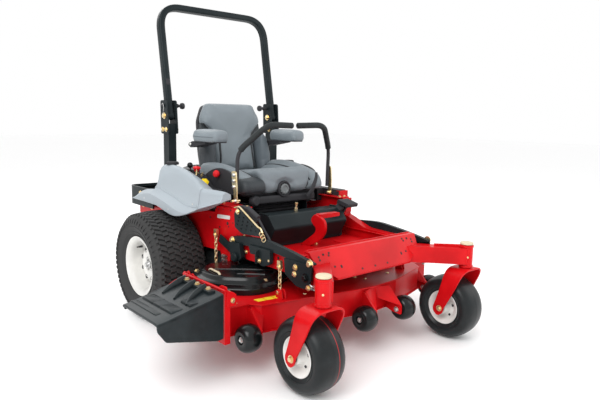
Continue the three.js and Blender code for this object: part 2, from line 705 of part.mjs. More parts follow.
/** Straight cutting blade with lifted tips, drawn about its spindle. */
function bladeBar() {
  const { radius } = blade;
  const plan = [
    [-radius, -30], [radius - 70, -30], [radius, -30], [radius, 22], [radius - 70, 32], [-radius + 70, 32],
    [-radius, 30],
  ];
  const flat = slab('z', plan, -3, 3);
  const round = new THREE.CylinderGeometry(radius, radius, 40, 48).rotateX(Math.PI / 2);
  const nut = new THREE.CylinderGeometry(22, 22, 18, 6).rotateX(Math.PI / 2).translate(0, 0, -8);
  return join(common(flat, round), nut);
}

/** Anti-scalp roller turned about its axle. */
function rollerBarrel() {
  const { radius, halfWidth, bore } = roller;
  const steps = 6;
  const bulge = [...Array(steps + 1).keys()].map((step) => {
    const along = -halfWidth + (2 * halfWidth * step) / steps;
    const drop = (radius - 40) * (along / halfWidth) ** 2;
    return [radius - drop, along];
  });
  return turned('x', [[bore, -halfWidth], ...bulge, [bore, halfWidth], [bore, -halfWidth]], 16);
}

const cuttingDeck = new THREE.Group();
mower.add(cuttingDeck);
part(cuttingDeck, 'deck_shell', deckShell(), red);
pair(cuttingDeck, 'belt_cover', beltCover(), black);
part(cuttingDeck, 'chute', chute(), rubber);
for (const [name, [x, y]] of [['right', spindlePlaces()[0]], ['centre', spindlePlaces()[1]],
  ['left', spindlePlaces()[2]]]) {
  const piece = part(cuttingDeck, `blade_${name}`, bladeBar(), steel);
  piece.position.set(x, y, blade.z);
}
for (const [name, [x, y]] of Object.entries(rollerPlaces)) {
  const piece = part(cuttingDeck, `roller_${name}`, rollerBarrel(), black);
  piece.position.set(x, y, roller.z);
}

// ---------------------------------------------------------------- stand the machine on its origin
mower.updateMatrixWorld(true);
const extent = new THREE.Box3().setFromObject(mower, true);
const middle = extent.getCenter(new THREE.Vector3());
mower.position.set(-middle.x, -middle.y, -extent.min.z);

export default mower;
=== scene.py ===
"""Looks of a zero turn mower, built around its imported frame.

Lengths are metres in the machine's own frame: x = 0 is its middle plane, +X the operator's left, y = 0
the drive axle, the machine drives towards -Y, and z = 0 is the ground. Mesher.piece() moves each finished
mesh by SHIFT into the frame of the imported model, so that a piece's object stays at the origin.
"""
import json
import logging
import math
from dataclasses import dataclass, field
from enum import Enum
from typing import Any, Callable, Iterable, Sequence

import bmesh
import bpy
from mathutils import Matrix, Vector
from mathutils.bvhtree import BVHTree


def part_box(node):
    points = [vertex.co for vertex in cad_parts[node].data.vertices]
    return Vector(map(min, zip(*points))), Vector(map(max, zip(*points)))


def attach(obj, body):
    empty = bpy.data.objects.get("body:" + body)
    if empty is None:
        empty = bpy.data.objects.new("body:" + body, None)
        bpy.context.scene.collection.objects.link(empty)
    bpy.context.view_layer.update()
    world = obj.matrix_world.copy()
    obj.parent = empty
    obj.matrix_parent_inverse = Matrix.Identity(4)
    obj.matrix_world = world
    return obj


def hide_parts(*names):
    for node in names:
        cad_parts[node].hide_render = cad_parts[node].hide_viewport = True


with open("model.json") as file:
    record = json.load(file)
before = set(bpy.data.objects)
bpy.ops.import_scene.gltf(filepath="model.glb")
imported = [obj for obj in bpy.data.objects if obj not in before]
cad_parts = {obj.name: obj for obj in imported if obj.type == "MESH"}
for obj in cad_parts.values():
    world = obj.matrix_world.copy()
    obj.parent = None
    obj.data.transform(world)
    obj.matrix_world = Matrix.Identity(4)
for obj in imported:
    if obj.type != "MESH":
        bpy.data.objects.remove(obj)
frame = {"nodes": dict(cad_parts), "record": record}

log = logging.getLogger("mower")
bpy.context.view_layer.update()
Point = Sequence[float]
Ring = list[Vector]
Outline = list[tuple[float, float]]
SIDES = (("right", -1), ("left", 1))


def middle_of(*nodes: str) -> Vector:
    """Middle of the boxes of some CAD nodes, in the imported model's frame."""
    corners = [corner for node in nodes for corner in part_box(node)]
    return sum(corners, Vector()) / len(corners)


WHEELS = middle_of("drive_tyre_right", "drive_tyre_left")
SHIFT = Vector((WHEELS.x, WHEELS.y, 0))


# ---------------------------------------------------------------- shader graphs
class Value:
    """A number that changes over a surface. Arithmetic on it adds Math nodes."""

    def __init__(self, graph: "Graph", socket: Any) -> None:
        """Wraps an output socket of a graph."""
        self.graph = graph
        self.socket = socket

    def _math(self, operation: str, *inputs: Any) -> "Value":
        """Adds one Math node on the given inputs."""
        return self.graph.node("ShaderNodeMath", {"operation": operation}, dict(enumerate(inputs)))

    def __add__(self, other: Any) -> "Value":
        """Sum."""
        return self._math("ADD", self, other)

    def __sub__(self, other: Any) -> "Value":
        """Difference."""
        return self._math("SUBTRACT", self, other)

    def __rsub__(self, other: Any) -> "Value":
        """Difference with the number first."""
        return self._math("SUBTRACT", other, self)

    def __mul__(self, other: Any) -> "Value":
        """Product."""
        return self._math("MULTIPLY", self, other)

    __radd__ = __add__
    __rmul__ = __mul__

    def absolute(self) -> "Value":
        """Size without sign."""
        return self._math("ABSOLUTE", self)

    def between(self, low: float, high: float) -> "Value":
        """Smooth step from 0 at low to 1 at high; high may be the smaller number.

        Args:
            low: number that gives 0.
            high: number that gives 1.
        Returns:
            The result as a Value.
        """
        settings = {"interpolation_type": "SMOOTHSTEP"}
        if low <= high:
            return self.graph.node("ShaderNodeMapRange", settings, {"Value": self, "From Min": low,
                "From Max": high})
        return 1 - self.between(high, low)


class Graph:
    """Node tree of one material, with a Principled shader."""

    def __init__(self, name: str) -> None:
        """Makes an empty material of this name with its shader and output.

        Args:
            name: the material's name.
        """
        self.material = bpy.data.materials.new(name)
        self.material.use_nodes = True
        self.tree = self.material.node_tree
        self.tree.nodes.clear()
        self.shader = self.tree.nodes.new("ShaderNodeBsdfPrincipled")
        output = self.tree.nodes.new("ShaderNodeOutputMaterial")
        self.tree.links.new(self.shader.outputs[0], output.inputs[0])

    def node(self, kind: str, settings: dict[str, Any], inputs: dict[Any, Any], output: Any = 0) -> Value:
        """Adds one node.

        Args:
            kind: Blender's name of the node type.
            settings: properties set before the sockets.
            inputs: socket names or numbers, each with a constant or a Value that is linked to it.
            output: name or number of the output that is wanted.
        Returns:
            The wanted output as a Value.
        """
        made = self.tree.nodes.new(kind)
        for key, value in settings.items():
            setattr(made, key, value)
        for key, value in inputs.items():
            self.feed(made.inputs[key], value)
        return Value(self, made.outputs[output])

    def feed(self, socket: Any, value: Any) -> None:
        """Links a Value to a socket, or sets the constant on it.

        Args:
            socket: the input socket.
            value: a constant or a Value.
        """
        if isinstance(value, Value):
            self.tree.links.new(value.socket, socket)
        elif hasattr(socket.default_value, "__len__") and len(socket.default_value) == 4:
            socket.default_value = (*value[:3], 1)
        else:
            socket.default_value = value

    def place(self) -> Value:
        """Position on the piece at rest, in metres."""
        return self.node("ShaderNodeTexCoord", {}, {}, "Object")

    def axis(self, place: Value, name: str) -> Value:
        """One coordinate of a position."""
        return self.node("ShaderNodeSeparateXYZ", {}, {0: place}, name)

    def noise(self, scale: float, detail: float = 3, stretch: Point = (1, 1, 1),
            rough: float = 0.5) -> Value:
        """Fractal noise around 0.5, with features about 1 / scale metres across.

        Args:
            scale: features per metre.
            detail: octaves.
            stretch: factors along the three axes.
            rough: share that each octave keeps.
        Returns:
            The result as a Value.
        """
        spot = self.node("ShaderNodeVectorMath", {"operation": "MULTIPLY"}, {0: self.place(), 1: stretch})
        return self.node("ShaderNodeTexNoise", {}, {"Vector": spot, "Scale": scale, "Detail": detail,
            "Roughness": rough})

    def cells(self, scale: float, feature: str = "F1") -> Value:
        """Distance to the nearest cell middle, or to the cell's edge."""
        return self.node("ShaderNodeTexVoronoi", {"feature": feature}, {"Vector": self.place(),
            "Scale": scale})

    def blend(self, factor: Any, first: Any, second: Any) -> Value:
        """Colour between two colours.

        Args:
            factor: 0 for the first, 1 for the second.
            first: colour at 0.
            second: colour at 1.
        Returns:
            The result as a Value.
        """
        names = {"Factor": factor, "A": first, "B": second}
        made = self.tree.nodes.new("ShaderNodeMix")
        made.data_type = "RGBA"
        for name, value in names.items():
            wanted = "VALUE" if name == "Factor" else "RGBA"
            self.feed(next(s for s in made.inputs if s.name == name and s.type == wanted), value)
        return Value(self, next(s for s in made.outputs if s.type == "RGBA"))

    def bump(self, height: Value, depth: float, strength: float = 1.0,
            over: Value | None = None) -> Value:
        """Normal that a height of some metres gives, on top of another normal."""
        inputs = {"Height": height, "Distance": depth, "Strength": strength}
        return self.node("ShaderNodeBump", {}, inputs | ({"Normal": over} if over else {}))

    def finish(self, **sockets: Any) -> bpy.types.Material:
        """Sets the shader's sockets, given with underscores for spaces, and returns the material.

        Args:
            sockets: constants or Values by socket name.
        Returns:
            The material.
        """
        for name, value in sockets.items():
            self.feed(self.shader.inputs[name.replace("_", " ")], value)
        return self.material


# ---------------------------------------------------------------- finishes
@dataclass(frozen=True)
class Paint:
    """Sprayed or powder-coated metal: faint mottling, orange peel, dust low down and rubbed patches."""

    name: str
    colour: Point
    rough: float = 0.3
    coat: float = 0.0
    dust: float = 0.25
    peel: float = 0.00003
    dust_colour: Point = (0.3, 0.26, 0.21)

    def material(self) -> bpy.types.Material:
        """Builds the node material.

        Returns:
            The material.
        """
        g = Graph(self.name)
        broad = g.noise(4.5, 4)
        fine = g.noise(60, 3)
        deep = [channel * 0.8 for channel in self.colour]
        bright = [min(1.0, channel * 1.1 + 0.003) for channel in self.colour]
        tone = g.blend(broad.between(0.3, 0.7), deep, bright)
        height = g.axis(g.place(), "Z")
        low = height.between(0.62, 0.05)
        film = (low * 0.6 + 0.12) * broad.between(0.42, 0.72) * fine.between(0.35, 0.7) * self.dust
        scuffs = g.noise(14, 4, (1, 1, 3), 0.6).between(0.64, 0.84)
        colour = g.blend(film, tone, self.dust_colour)
        colour = g.blend(scuffs * 0.03, colour, [channel * 0.7 + 0.04 for channel in self.colour])
        rough = film * 0.5 + (fine - 0.5) * 0.05 + scuffs * 0.1 + self.rough
        return g.finish(Base_Color=colour, Roughness=rough, Coat_Weight=self.coat, Coat_Roughness=0.12,
            Specular_IOR_Level=0.14, Normal=g.bump(g.noise(260, 2), self.peel))


@dataclass(frozen=True)
class Moulded:
    """Moulded plastic or foam: stippled skin, faint flow marks and worn sheen."""

    name: str
    colour: Point
    rough: float = 0.5
    stipple: float = 900.0
    depth: float = 0.00008
    mottle: float = 0.1

    def material(self) -> bpy.types.Material:
        """Builds the node material.

        Returns:
            The material.
        """
        g = Graph(self.name)
        flow = g.noise(6, 4, (1, 0.5, 1.6))
        grit = g.cells(self.stipple)
        fine = g.noise(140, 4)
        deep = [channel * (1 - self.mottle) for channel in self.colour]
        bright = [channel * (1 + self.mottle) + 0.002 for channel in self.colour]
        colour = g.blend(flow.between(0.3, 0.7) * 0.8 + fine * 0.2, deep, bright)
        dusty = g.noise(13, 5, rough=0.65).between(0.6, 0.78)
        colour = g.blend(dusty * 0.04, colour, (0.34, 0.31, 0.27))
        rough = (flow - 0.5) * 0.16 + (fine - 0.5) * 0.1 + dusty * 0.08 + self.rough
        return g.finish(Base_Color=colour, Roughness=rough, Specular_IOR_Level=0.3,
            Normal=g.bump(grit, self.depth, 0.9, g.bump(fine, self.depth * 2, 0.5)))


@dataclass(frozen=True)
class Vinyl:
    """Grained seat vinyl with soft creases and a rubbed sheen on its high spots."""

    name: str
    colour: Point
    rough: float = 0.46

    def material(self) -> bpy.types.Material:
        """Builds the node material.

        Returns:
            The material.
        """
        g = Graph(self.name)
        grain = g.cells(520, "DISTANCE_TO_EDGE").between(0.0, 0.22)
        pores = g.noise(900, 2)
        crease = g.noise(16, 5, (1.4, 0.8, 1.0), 0.6)
        rubbed = g.noise(5, 3)
        deep = [channel * 0.72 for channel in self.colour]
        bright = [channel * 1.12 for channel in self.colour]
        colour = g.blend(rubbed.between(0.3, 0.72), [channel * 0.92 for channel in self.colour], bright)
        colour = g.blend((1 - grain) * 0.45, colour, deep)
        rough = (rubbed - 0.5) * -0.22 + (1 - grain) * 0.12 + self.rough
        normal = g.bump(crease, 0.0016, 0.5)
        normal = g.bump(grain * 0.8 + pores * 0.2, 0.00022, 0.8, normal)
        return g.finish(Base_Color=colour, Roughness=rough, Sheen_Weight=0.08, Normal=normal)


@dataclass(frozen=True)
class Rubber:
    """Tyre or deflector rubber: dark, matt, dusty in its hollows."""

    name: str
    colour: Point
    rough: float = 0.62
    dust: float = 0.3
    stripe: Point | None = None
    stripe_x: float = 0.0

    def material(self) -> bpy.types.Material:
        """Builds the node material.

        Returns:
            The material.
        """
        g = Graph(self.name)
        cloud = g.noise(9, 5, rough=0.6)
        fine = g.noise(230, 4)
        colour = g.blend(cloud.between(0.3, 0.7), [c * 0.75 for c in self.colour],
            [c * 1.35 for c in self.colour])
        film = cloud.between(0.45, 0.75) * fine.between(0.35, 0.65) * self.dust
        colour = g.blend(film, colour, (0.07, 0.085, 0.09))
        if self.stripe:
            off = (g.axis(g.place(), "X") - self.stripe_x).absolute()
            colour = g.blend(off.between(0.0022, 0.001) * 0.75, colour, self.stripe)
        rough = (cloud - 0.5) * 0.15 + film * 0.4 + self.rough
        return g.finish(Base_Color=colour, Roughness=rough, Specular_IOR_Level=0.25,
            Normal=g.bump(fine, 0.0003, 0.7))


@dataclass(frozen=True)
class Metal:
    """Bare or plated metal with brushing, stains and, for zinc, a drifting yellow and rose tint."""

    name: str
    colour: Point
    second: Point
    rough: float = 0.32
    brush: Point = (1, 1, 30)

    def material(self) -> bpy.types.Material:
        """Builds the node material.

        Returns:
            The material.
        """
        g = Graph(self.name)
        tint = g.noise(38, 4)
        lines = g.noise(70, 3, self.brush)
        stain = g.noise(21, 5, rough=0.7).between(0.58, 0.76)
        colour = g.blend(tint.between(0.35, 0.66), self.colour, self.second)
        colour = g.blend(stain * 0.35, colour, [channel * 0.35 for channel in self.colour])
        rough = (lines - 0.5) * 0.25 + stain * 0.2 + self.rough
        return g.finish(Base_Color=colour, Roughness=rough, Metallic=0.92 - stain * 0.3,
            Normal=g.bump(lines, 0.00012, 0.6))


class Finish(Enum):
    """Every finish on the machine, with the record's slot that it belongs to."""

    RED = ("red_paint", Paint("red_powder_coat", (0.57, 0.003, 0.006), 0.3, 0.03, 0.02))
    CHARCOAL = ("charcoal_steel", Paint("charcoal_powder_coat", (0.01, 0.016, 0.018), 0.38, 0.0, 0.06))
    ENGINE = ("engine_black", Paint("engine_black_enamel", (0.014, 0.014, 0.015), 0.36, 0.0, 0.2))
    RIM = ("rim_paint", Paint("rim_cream_enamel", (0.74, 0.73, 0.7), 0.34, 0.1, 0.3))
    CAP = ("rim_paint", Moulded("cream_cap", (0.62, 0.54, 0.38), 0.42))
    TANK = ("tank_plastic", Moulded("tank_grey", (0.33, 0.372, 0.405), 0.42, 700, 0.0001, 0.05))
    BLACK = ("black_plastic", Moulded("black_plastic", (0.006, 0.009, 0.01), 0.4))
    GLOSS = ("black_plastic", Moulded("black_gloss_cover", (0.004, 0.0055, 0.006), 0.22, 1200, 0.00004))
    # Black foam of the grips; the same near-black makes the punched holes' painted shade.
    FOAM = ("black_plastic", Moulded("black_foam_grip", (0.013, 0.017, 0.018), 0.62, 420, 0.0003, 0.25))
    SEAT = ("seat_vinyl", Vinyl("seat_vinyl_light", (0.185, 0.218, 0.24)))
    SEAT_SIDE = ("seat_vinyl", Vinyl("seat_vinyl_side", (0.105, 0.128, 0.146)))
    # Darker copy of the side vinyl: painted shade on the right back bolster.
    SEAT_SHADE = ("seat_vinyl", Vinyl("seat_vinyl_shade", (0.042, 0.051, 0.06)))
    SEAT_DARK = ("seat_vinyl", Vinyl("seat_vinyl_dark", (0.016, 0.023, 0.028)))
    PIPING = ("seat_vinyl", Vinyl("seat_piping", (0.018, 0.02, 0.022), 0.5))
    TYRE = ("tyre_rubber", Rubber("tyre_rubber", (0.009, 0.0135, 0.0145), 0.6, 0.16))
    CASTER = ("tyre_rubber", Rubber("caster_rubber", (0.01, 0.012, 0.013), 0.36, 0.07,
        (0.6, 0.02, 0.02), -0.323))
    CHUTE = ("chute_rubber", Rubber("deflector_rubber", (0.011, 0.016, 0.018), 0.4, 0.1))
    ZINC = ("zinc_plate", Metal("yellow_zinc", (0.78, 0.6, 0.3), (0.86, 0.72, 0.46), 0.3))
    STEEL = ("blade_steel", Metal("worn_steel", (0.42, 0.42, 0.43), (0.3, 0.29, 0.28), 0.38))
    BRIGHT = ("zinc_plate", Metal("bright_zinc", (0.62, 0.62, 0.6), (0.5, 0.5, 0.5), 0.28))
    KNOB_RED = ("red_paint", Moulded("red_knob", (0.7, 0.012, 0.018), 0.3))
    KNOB_YELLOW = ("zinc_plate", Moulded("yellow_knob", (0.85, 0.62, 0.01), 0.34))
    LABEL = ("red_paint", Moulded("blank_yellow_label", (0.8, 0.6, 0.03), 0.38))
    DIAL = ("black_plastic", Moulded("grey_dial", (0.17, 0.185, 0.19), 0.36))
    MESH = ("engine_black", Moulded("fan_screen_grey", (0.06, 0.063, 0.066), 0.5))

    @property
    def slot(self) -> str:
        """Name of the record's material slot."""
        return self.value[0]

    def material(self) -> bpy.types.Material:
        """The material, built the first time that it is asked for."""
        recipe = self.value[1]
        return bpy.data.materials.get(recipe.name) or recipe.material()


# ---------------------------------------------------------------- mesh tools
def rounded(corners: Sequence[Point], steps: int = 5) -> Outline:
    """Closed outline through corners (u, v, setback), where a setback rounds its corner.

    Args:
        corners: the corners in order.
        steps: points along each rounded corner.
    Returns:
        The outline's points.
    """
    made: list[tuple[float, float]] = []
    count = len(corners)
    for i, corner in enumerate(corners):
        here = Vector(corner[:2])
        setback = corner[2] if len(corner) > 2 else 0.0
        if not setback:
            made.append((here.x, here.y))
            continue
        ends = []
        for other in (corners[i - 1], corners[(i + 1) % count]):
            way = Vector(other[:2]) - here
            ends.append(here + way.normalized() * min(setback, way.length * 0.45))
        for k in range(steps + 1):
            t = k / steps
            spot = ends[0] * (1 - t) ** 2 + here * 2 * t * (1 - t) + ends[1] * t * t
            made.append((spot.x, spot.y))
    return made


def evenly_rounded(outline: Sequence[tuple[float, float]], corner: float, steps: int = 5) -> Outline:
    """Closed outline with one setback at all its corners."""
    return rounded([(u, v, corner) for u, v in outline], steps)


def oblong(u: float, v: float, far_u: float, far_v: float, corner: float, steps: int = 5) -> Outline:
    """Rounded rectangle between two opposite corners."""
    return evenly_rounded([(u, v), (far_u, v), (far_u, far_v), (u, far_v)], corner, steps)


def bar_profile(radius: float, length: float) -> Outline:
    """Half-section of a plain round bar or disc, for turning."""
    return [(0, 0), (radius, 0), (radius, length), (0, length)]


def flowing(points: Sequence[Point], steps: int = 8) -> list[Vector]:
    """Smooth line through points (Catmull-Rom), with some steps between each two.

    Args:
        points: the points in order.
        steps: steps between each two.
    Returns:
        The line's points.
    """
    spots = [Vector(p) for p in points]
    padded = [2 * spots[0] - spots[1], *spots, 2 * spots[-1] - spots[-2]]
    made = []
    for i in range(len(spots) - 1):
        a, b, c, d = padded[i:i + 4]
        for k in range(steps):
            t = k / steps
            made.append(0.5 * (2 * b + (c - a) * t + (2 * a - 5 * b + 4 * c - d) * t * t +
                (3 * b - a - 3 * c + d) * t ** 3))
    return [*made, spots[-1]]


def filleted(points: Sequence[Point], radius: float, steps: int = 8) -> list[Vector]:
    """Straight runs through points with their corners rounded, as bent bar has.

    Args:
        points: the points in order.
        radius: setback of each corner.
        steps: steps round each corner.
    Returns:
        The line's points.
    """
    spots = [Vector(p) for p in points]
    made = [spots[0]]
    for before, here, after in zip(spots, spots[1:], spots[2:]):
        start = here + (before - here).normalized() * min(radius, (before - here).length * 0.48)
        end = here + (after - here).normalized() * min(radius, (after - here).length * 0.48)
        for k in range(steps + 1):
            t = k / steps
            made.append(start * (1 - t) ** 2 + here * 2 * t * (1 - t) + end * t * t)
    return [*made, spots[-1]]


def circle(radius: float, count: int = 12, squeeze: float = 1.0) -> Outline:
    """Points round a circle, or an ellipse with its second half-axis squeezed."""
    turns = [2 * math.pi * k / count for k in range(count)]
    return [(radius * math.cos(a), radius * squeeze * math.sin(a)) for a in turns]


def bar_section(width: float, depth: float, corner: float, steps: int = 4) -> Outline:
    """Rounded rectangle for a swept bar."""
    w, d = width / 2, depth / 2
    return rounded([(-w, -d, corner), (w, -d, corner), (w, d, corner), (-w, d, corner)], steps)


class Mesher:
    """Collects the faces of one piece in the machine's own frame."""

    def __init__(self) -> None:
        """Starts with no faces."""
        self.points: list[Vector] = []
        self.faces: list[tuple[int, ...]] = []

    def loft(self, rings: Sequence[Sequence[Point]], around: bool = False, caps: bool = True,
             closed: bool = True) -> "Mesher":
        """Skins rings of equally many points.

        Args:
            rings: the rings in order.
            around: also joins the last ring to the first.
            caps: closes both ends with a face.
            closed: each ring is a loop and not an open line.
        Returns:
            This mesher, so that calls can be chained.
        """
        base, count, size = len(self.points), len(rings), len(rings[0])
        self.points += [Vector(p) for ring in rings for p in ring]
        for i in range(count if around else count - 1):
            j = (i + 1) % count
            for k in range(size if closed else size - 1):
                m = (k + 1) % size
                self.faces.append((base + i * size + k, base + i * size + m, base + j * size + m,
                    base + j * size + k))
        if caps and not around:
            self.faces.append(tuple(range(base, base + size))[::-1])
            self.faces.append(tuple(range(base + (count - 1) * size, base + count * size)))
        return self

    def plate(self, axis: str, outline: Sequence[Point], low: float, high: float) -> "Mesher":
        """Outline extruded along an axis; it reads (y, z), (x, z) or (x, y).

        Args:
            axis: its direction.
            outline: the outline from above.
            low: number that gives 0.
            high: number that gives 1.
        Returns:
            This mesher, so that calls can be chained.
        """
        order = {"x": lambda u, v, w: (w, u, v), "y": lambda u, v, w: (u, w, v), "z": lambda u, v,
            w: (u, v, w)}
        return self.loft([[order[axis](p[0], p[1], level) for p in outline] for level in (low, high)])

    def block(self, low: Point, high: Point) -> "Mesher":
        """Box between two corners."""
        outline = [(low[0], low[1]), (high[0], low[1]), (high[0], high[1]), (low[0], high[1])]
        return self.plate("z", outline, low[2], high[2])

    def lathe(self, profile: Sequence[tuple[float, float]], centre: Point, axis: Point,
            segments: int = 32, loop: bool = False) -> "Mesher":
        """Profile (radius, along) turned about an axis through a centre.

        Args:
            profile: points (radius, height) of the half-section.
            centre: where the axis starts.
            axis: its direction, along which the heights are measured.
            segments: faces round the axis.
            loop: the profile is closed.
        Returns:
            This mesher, so that calls can be chained.
        """
        turn = Vector(axis).to_track_quat("Z", "Y")
        rings = []
        for k in range(segments):
            a = 2 * math.pi * k / segments
            rings.append([turn @ Vector((r * math.cos(a), r * math.sin(a), z)) + Vector(centre) for r,
                z in profile])
        return self.loft(rings, around=True, closed=loop)

    def sweep(self, path: Sequence[Point], section: Sequence[Point], up: Point = (0, 0, 1),
              scale: Callable[[float], float] | None = None, caps: bool = True) -> "Mesher":
        """Section carried along a path.

        Args:
            path: the points of the centreline.
            section: (side, up) offsets from it.
            up: direction that the section's second offset starts out near.
            scale: size of the section as a function of the share of the path.
            caps: closes both ends.
        Returns:
            This mesher.
        """
        spots = [Vector(p) for p in path]
        rings = []
        lift = Vector(up)
        for i, spot in enumerate(spots):
            ahead = (spots[min(i + 1, len(spots) - 1)] - spots[max(i - 1, 0)]).normalized()
            lift = (lift - ahead * lift.dot(ahead)).normalized()
            side = ahead.cross(lift)
            size = scale(i / (len(spots) - 1)) if scale else 1.0
            rings.append([spot + side * (u * size) + lift * (v * size) for u, v in section])
        return self.loft(rings, caps=caps)

    def bolt(self, centre: Point, axis: Point, size: float = 0.008) -> "Mesher":
        """Hexagon head on a washer, standing on a face at its centre and pointing along an axis.

        Args:
            centre: middle of the seat under the head.
            axis: way the head faces.
            size: width of the head.
        Returns:
            This mesher, so that calls can be chained.
        """
        turn = Vector(axis).to_track_quat("Z", "Y")
        self.lathe(bar_profile(size * 1.45, size * 0.22), centre, axis, 16)
        levels = [(0.2, 1.0), (0.85, 1.0), (1.0, 0.82), (1.0, 0.3)]
        rings = [[turn @ Vector((size * grow * math.cos(k * math.pi / 3),
            size * grow * math.sin(k * math.pi / 3),
            size * level)) + Vector(centre) for k in range(6)] for level, grow in levels]
        return self.loft(rings)

    def mirrored(self) -> "Mesher":
        """Adds the mirror image in the middle plane.

        Returns:
            This mesher, so that calls can be chained.
        """
        base = len(self.points)
        self.points += [Vector((-p.x, p.y, p.z)) for p in self.points]
        self.faces += [tuple(base + i for i in face)[::-1] for face in list(self.faces)]
        return self

    def flipped(self, side: int) -> "Mesher":
        """Turns a right-hand drawing into the left-hand one where side is 1.

        Args:
            side: -1 for the right side, 1 for the left.
        Returns:
            This mesher, so that calls can be chained.
        """
        if side > 0:
            self.points = [Vector((-p.x, p.y, p.z)) for p in self.points]
        return self

    def piece(self, name: str, body: str, finish: Finish, replaces: Iterable[str] = (),
            bevel: float = 0.0, rounding: int = 0, crease_angle: float = 40.0) -> bpy.types.Object:
        """Makes the collected faces into a shown piece.

        Args:
            name: name of the piece.
            body: CAD body it rides on.
            finish: its finish.
            replaces: CAD nodes it stands for.
            bevel: width of the bevel along sharp edges.
            rounding: levels of subdivision.
            crease_angle: edges sharper than this stay hard, in degrees.
        Returns:
            The new object.
        """
        mesh = bpy.data.meshes.new(name)
        mesh.from_pydata([p + SHIFT for p in self.points], [], self.faces)
        tidy = bmesh.new()
        tidy.from_mesh(mesh)
        bmesh.ops.remove_doubles(tidy, verts=tidy.verts, dist=1e-6)
        bmesh.ops.dissolve_degenerate(tidy, dist=1e-7, edges=tidy.edges)
        bmesh.ops.recalc_face_normals(tidy, faces=tidy.faces)
        tidy.to_mesh(mesh)
        tidy.free()
        made = bpy.data.objects.new(name, mesh)
        bpy.context.scene.collection.objects.link(made)
        dress(made, finish, crease_angle)
        if bevel:
            soften(made, bevel)
        if rounding:
            made.modifiers.new("rounding", "SUBSURF").levels = rounding
            made.modifiers["rounding"].render_levels = rounding
        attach(made, body)
        if replaces:
            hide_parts(*replaces)
        log.info("piece %s: %d faces, %s", name, len(mesh.polygons), finish.name.lower())
        return made


def dress(obj: bpy.types.Object, finish: Finish, crease_angle: float = 40.0) -> None:
    """Gives a mesh its material and smooth shading up to an angle between faces.

    Args:
        obj: the piece's object.
        finish: the finish it gets.
        crease_angle: angle in degrees above which an edge stays sharp.
    """
    obj.data.materials.clear()
    obj.data.materials.append(finish.material())
    for face in obj.data.polygons:
        face.use_smooth = True
        face.material_index = 0
    obj.data.set_sharp_from_angle(angle=math.radians(crease_angle))


def soften(obj: bpy.types.Object, width: float, segments: int = 2) -> None:
    """Rounds the sharp edges of a piece with a Bevel modifier.

    Args:
        obj: the piece's object.
        width: width of the rounding.
        segments: faces across the rounding.
    """
    bevel = obj.modifiers.new("edge", "BEVEL")
    bevel.width = width
    bevel.segments = segments
    bevel.limit_method = "ANGLE"
    bevel.angle_limit = math.radians(38)
    bevel.harden_normals = True
    bevel.use_clamp_overlap = True


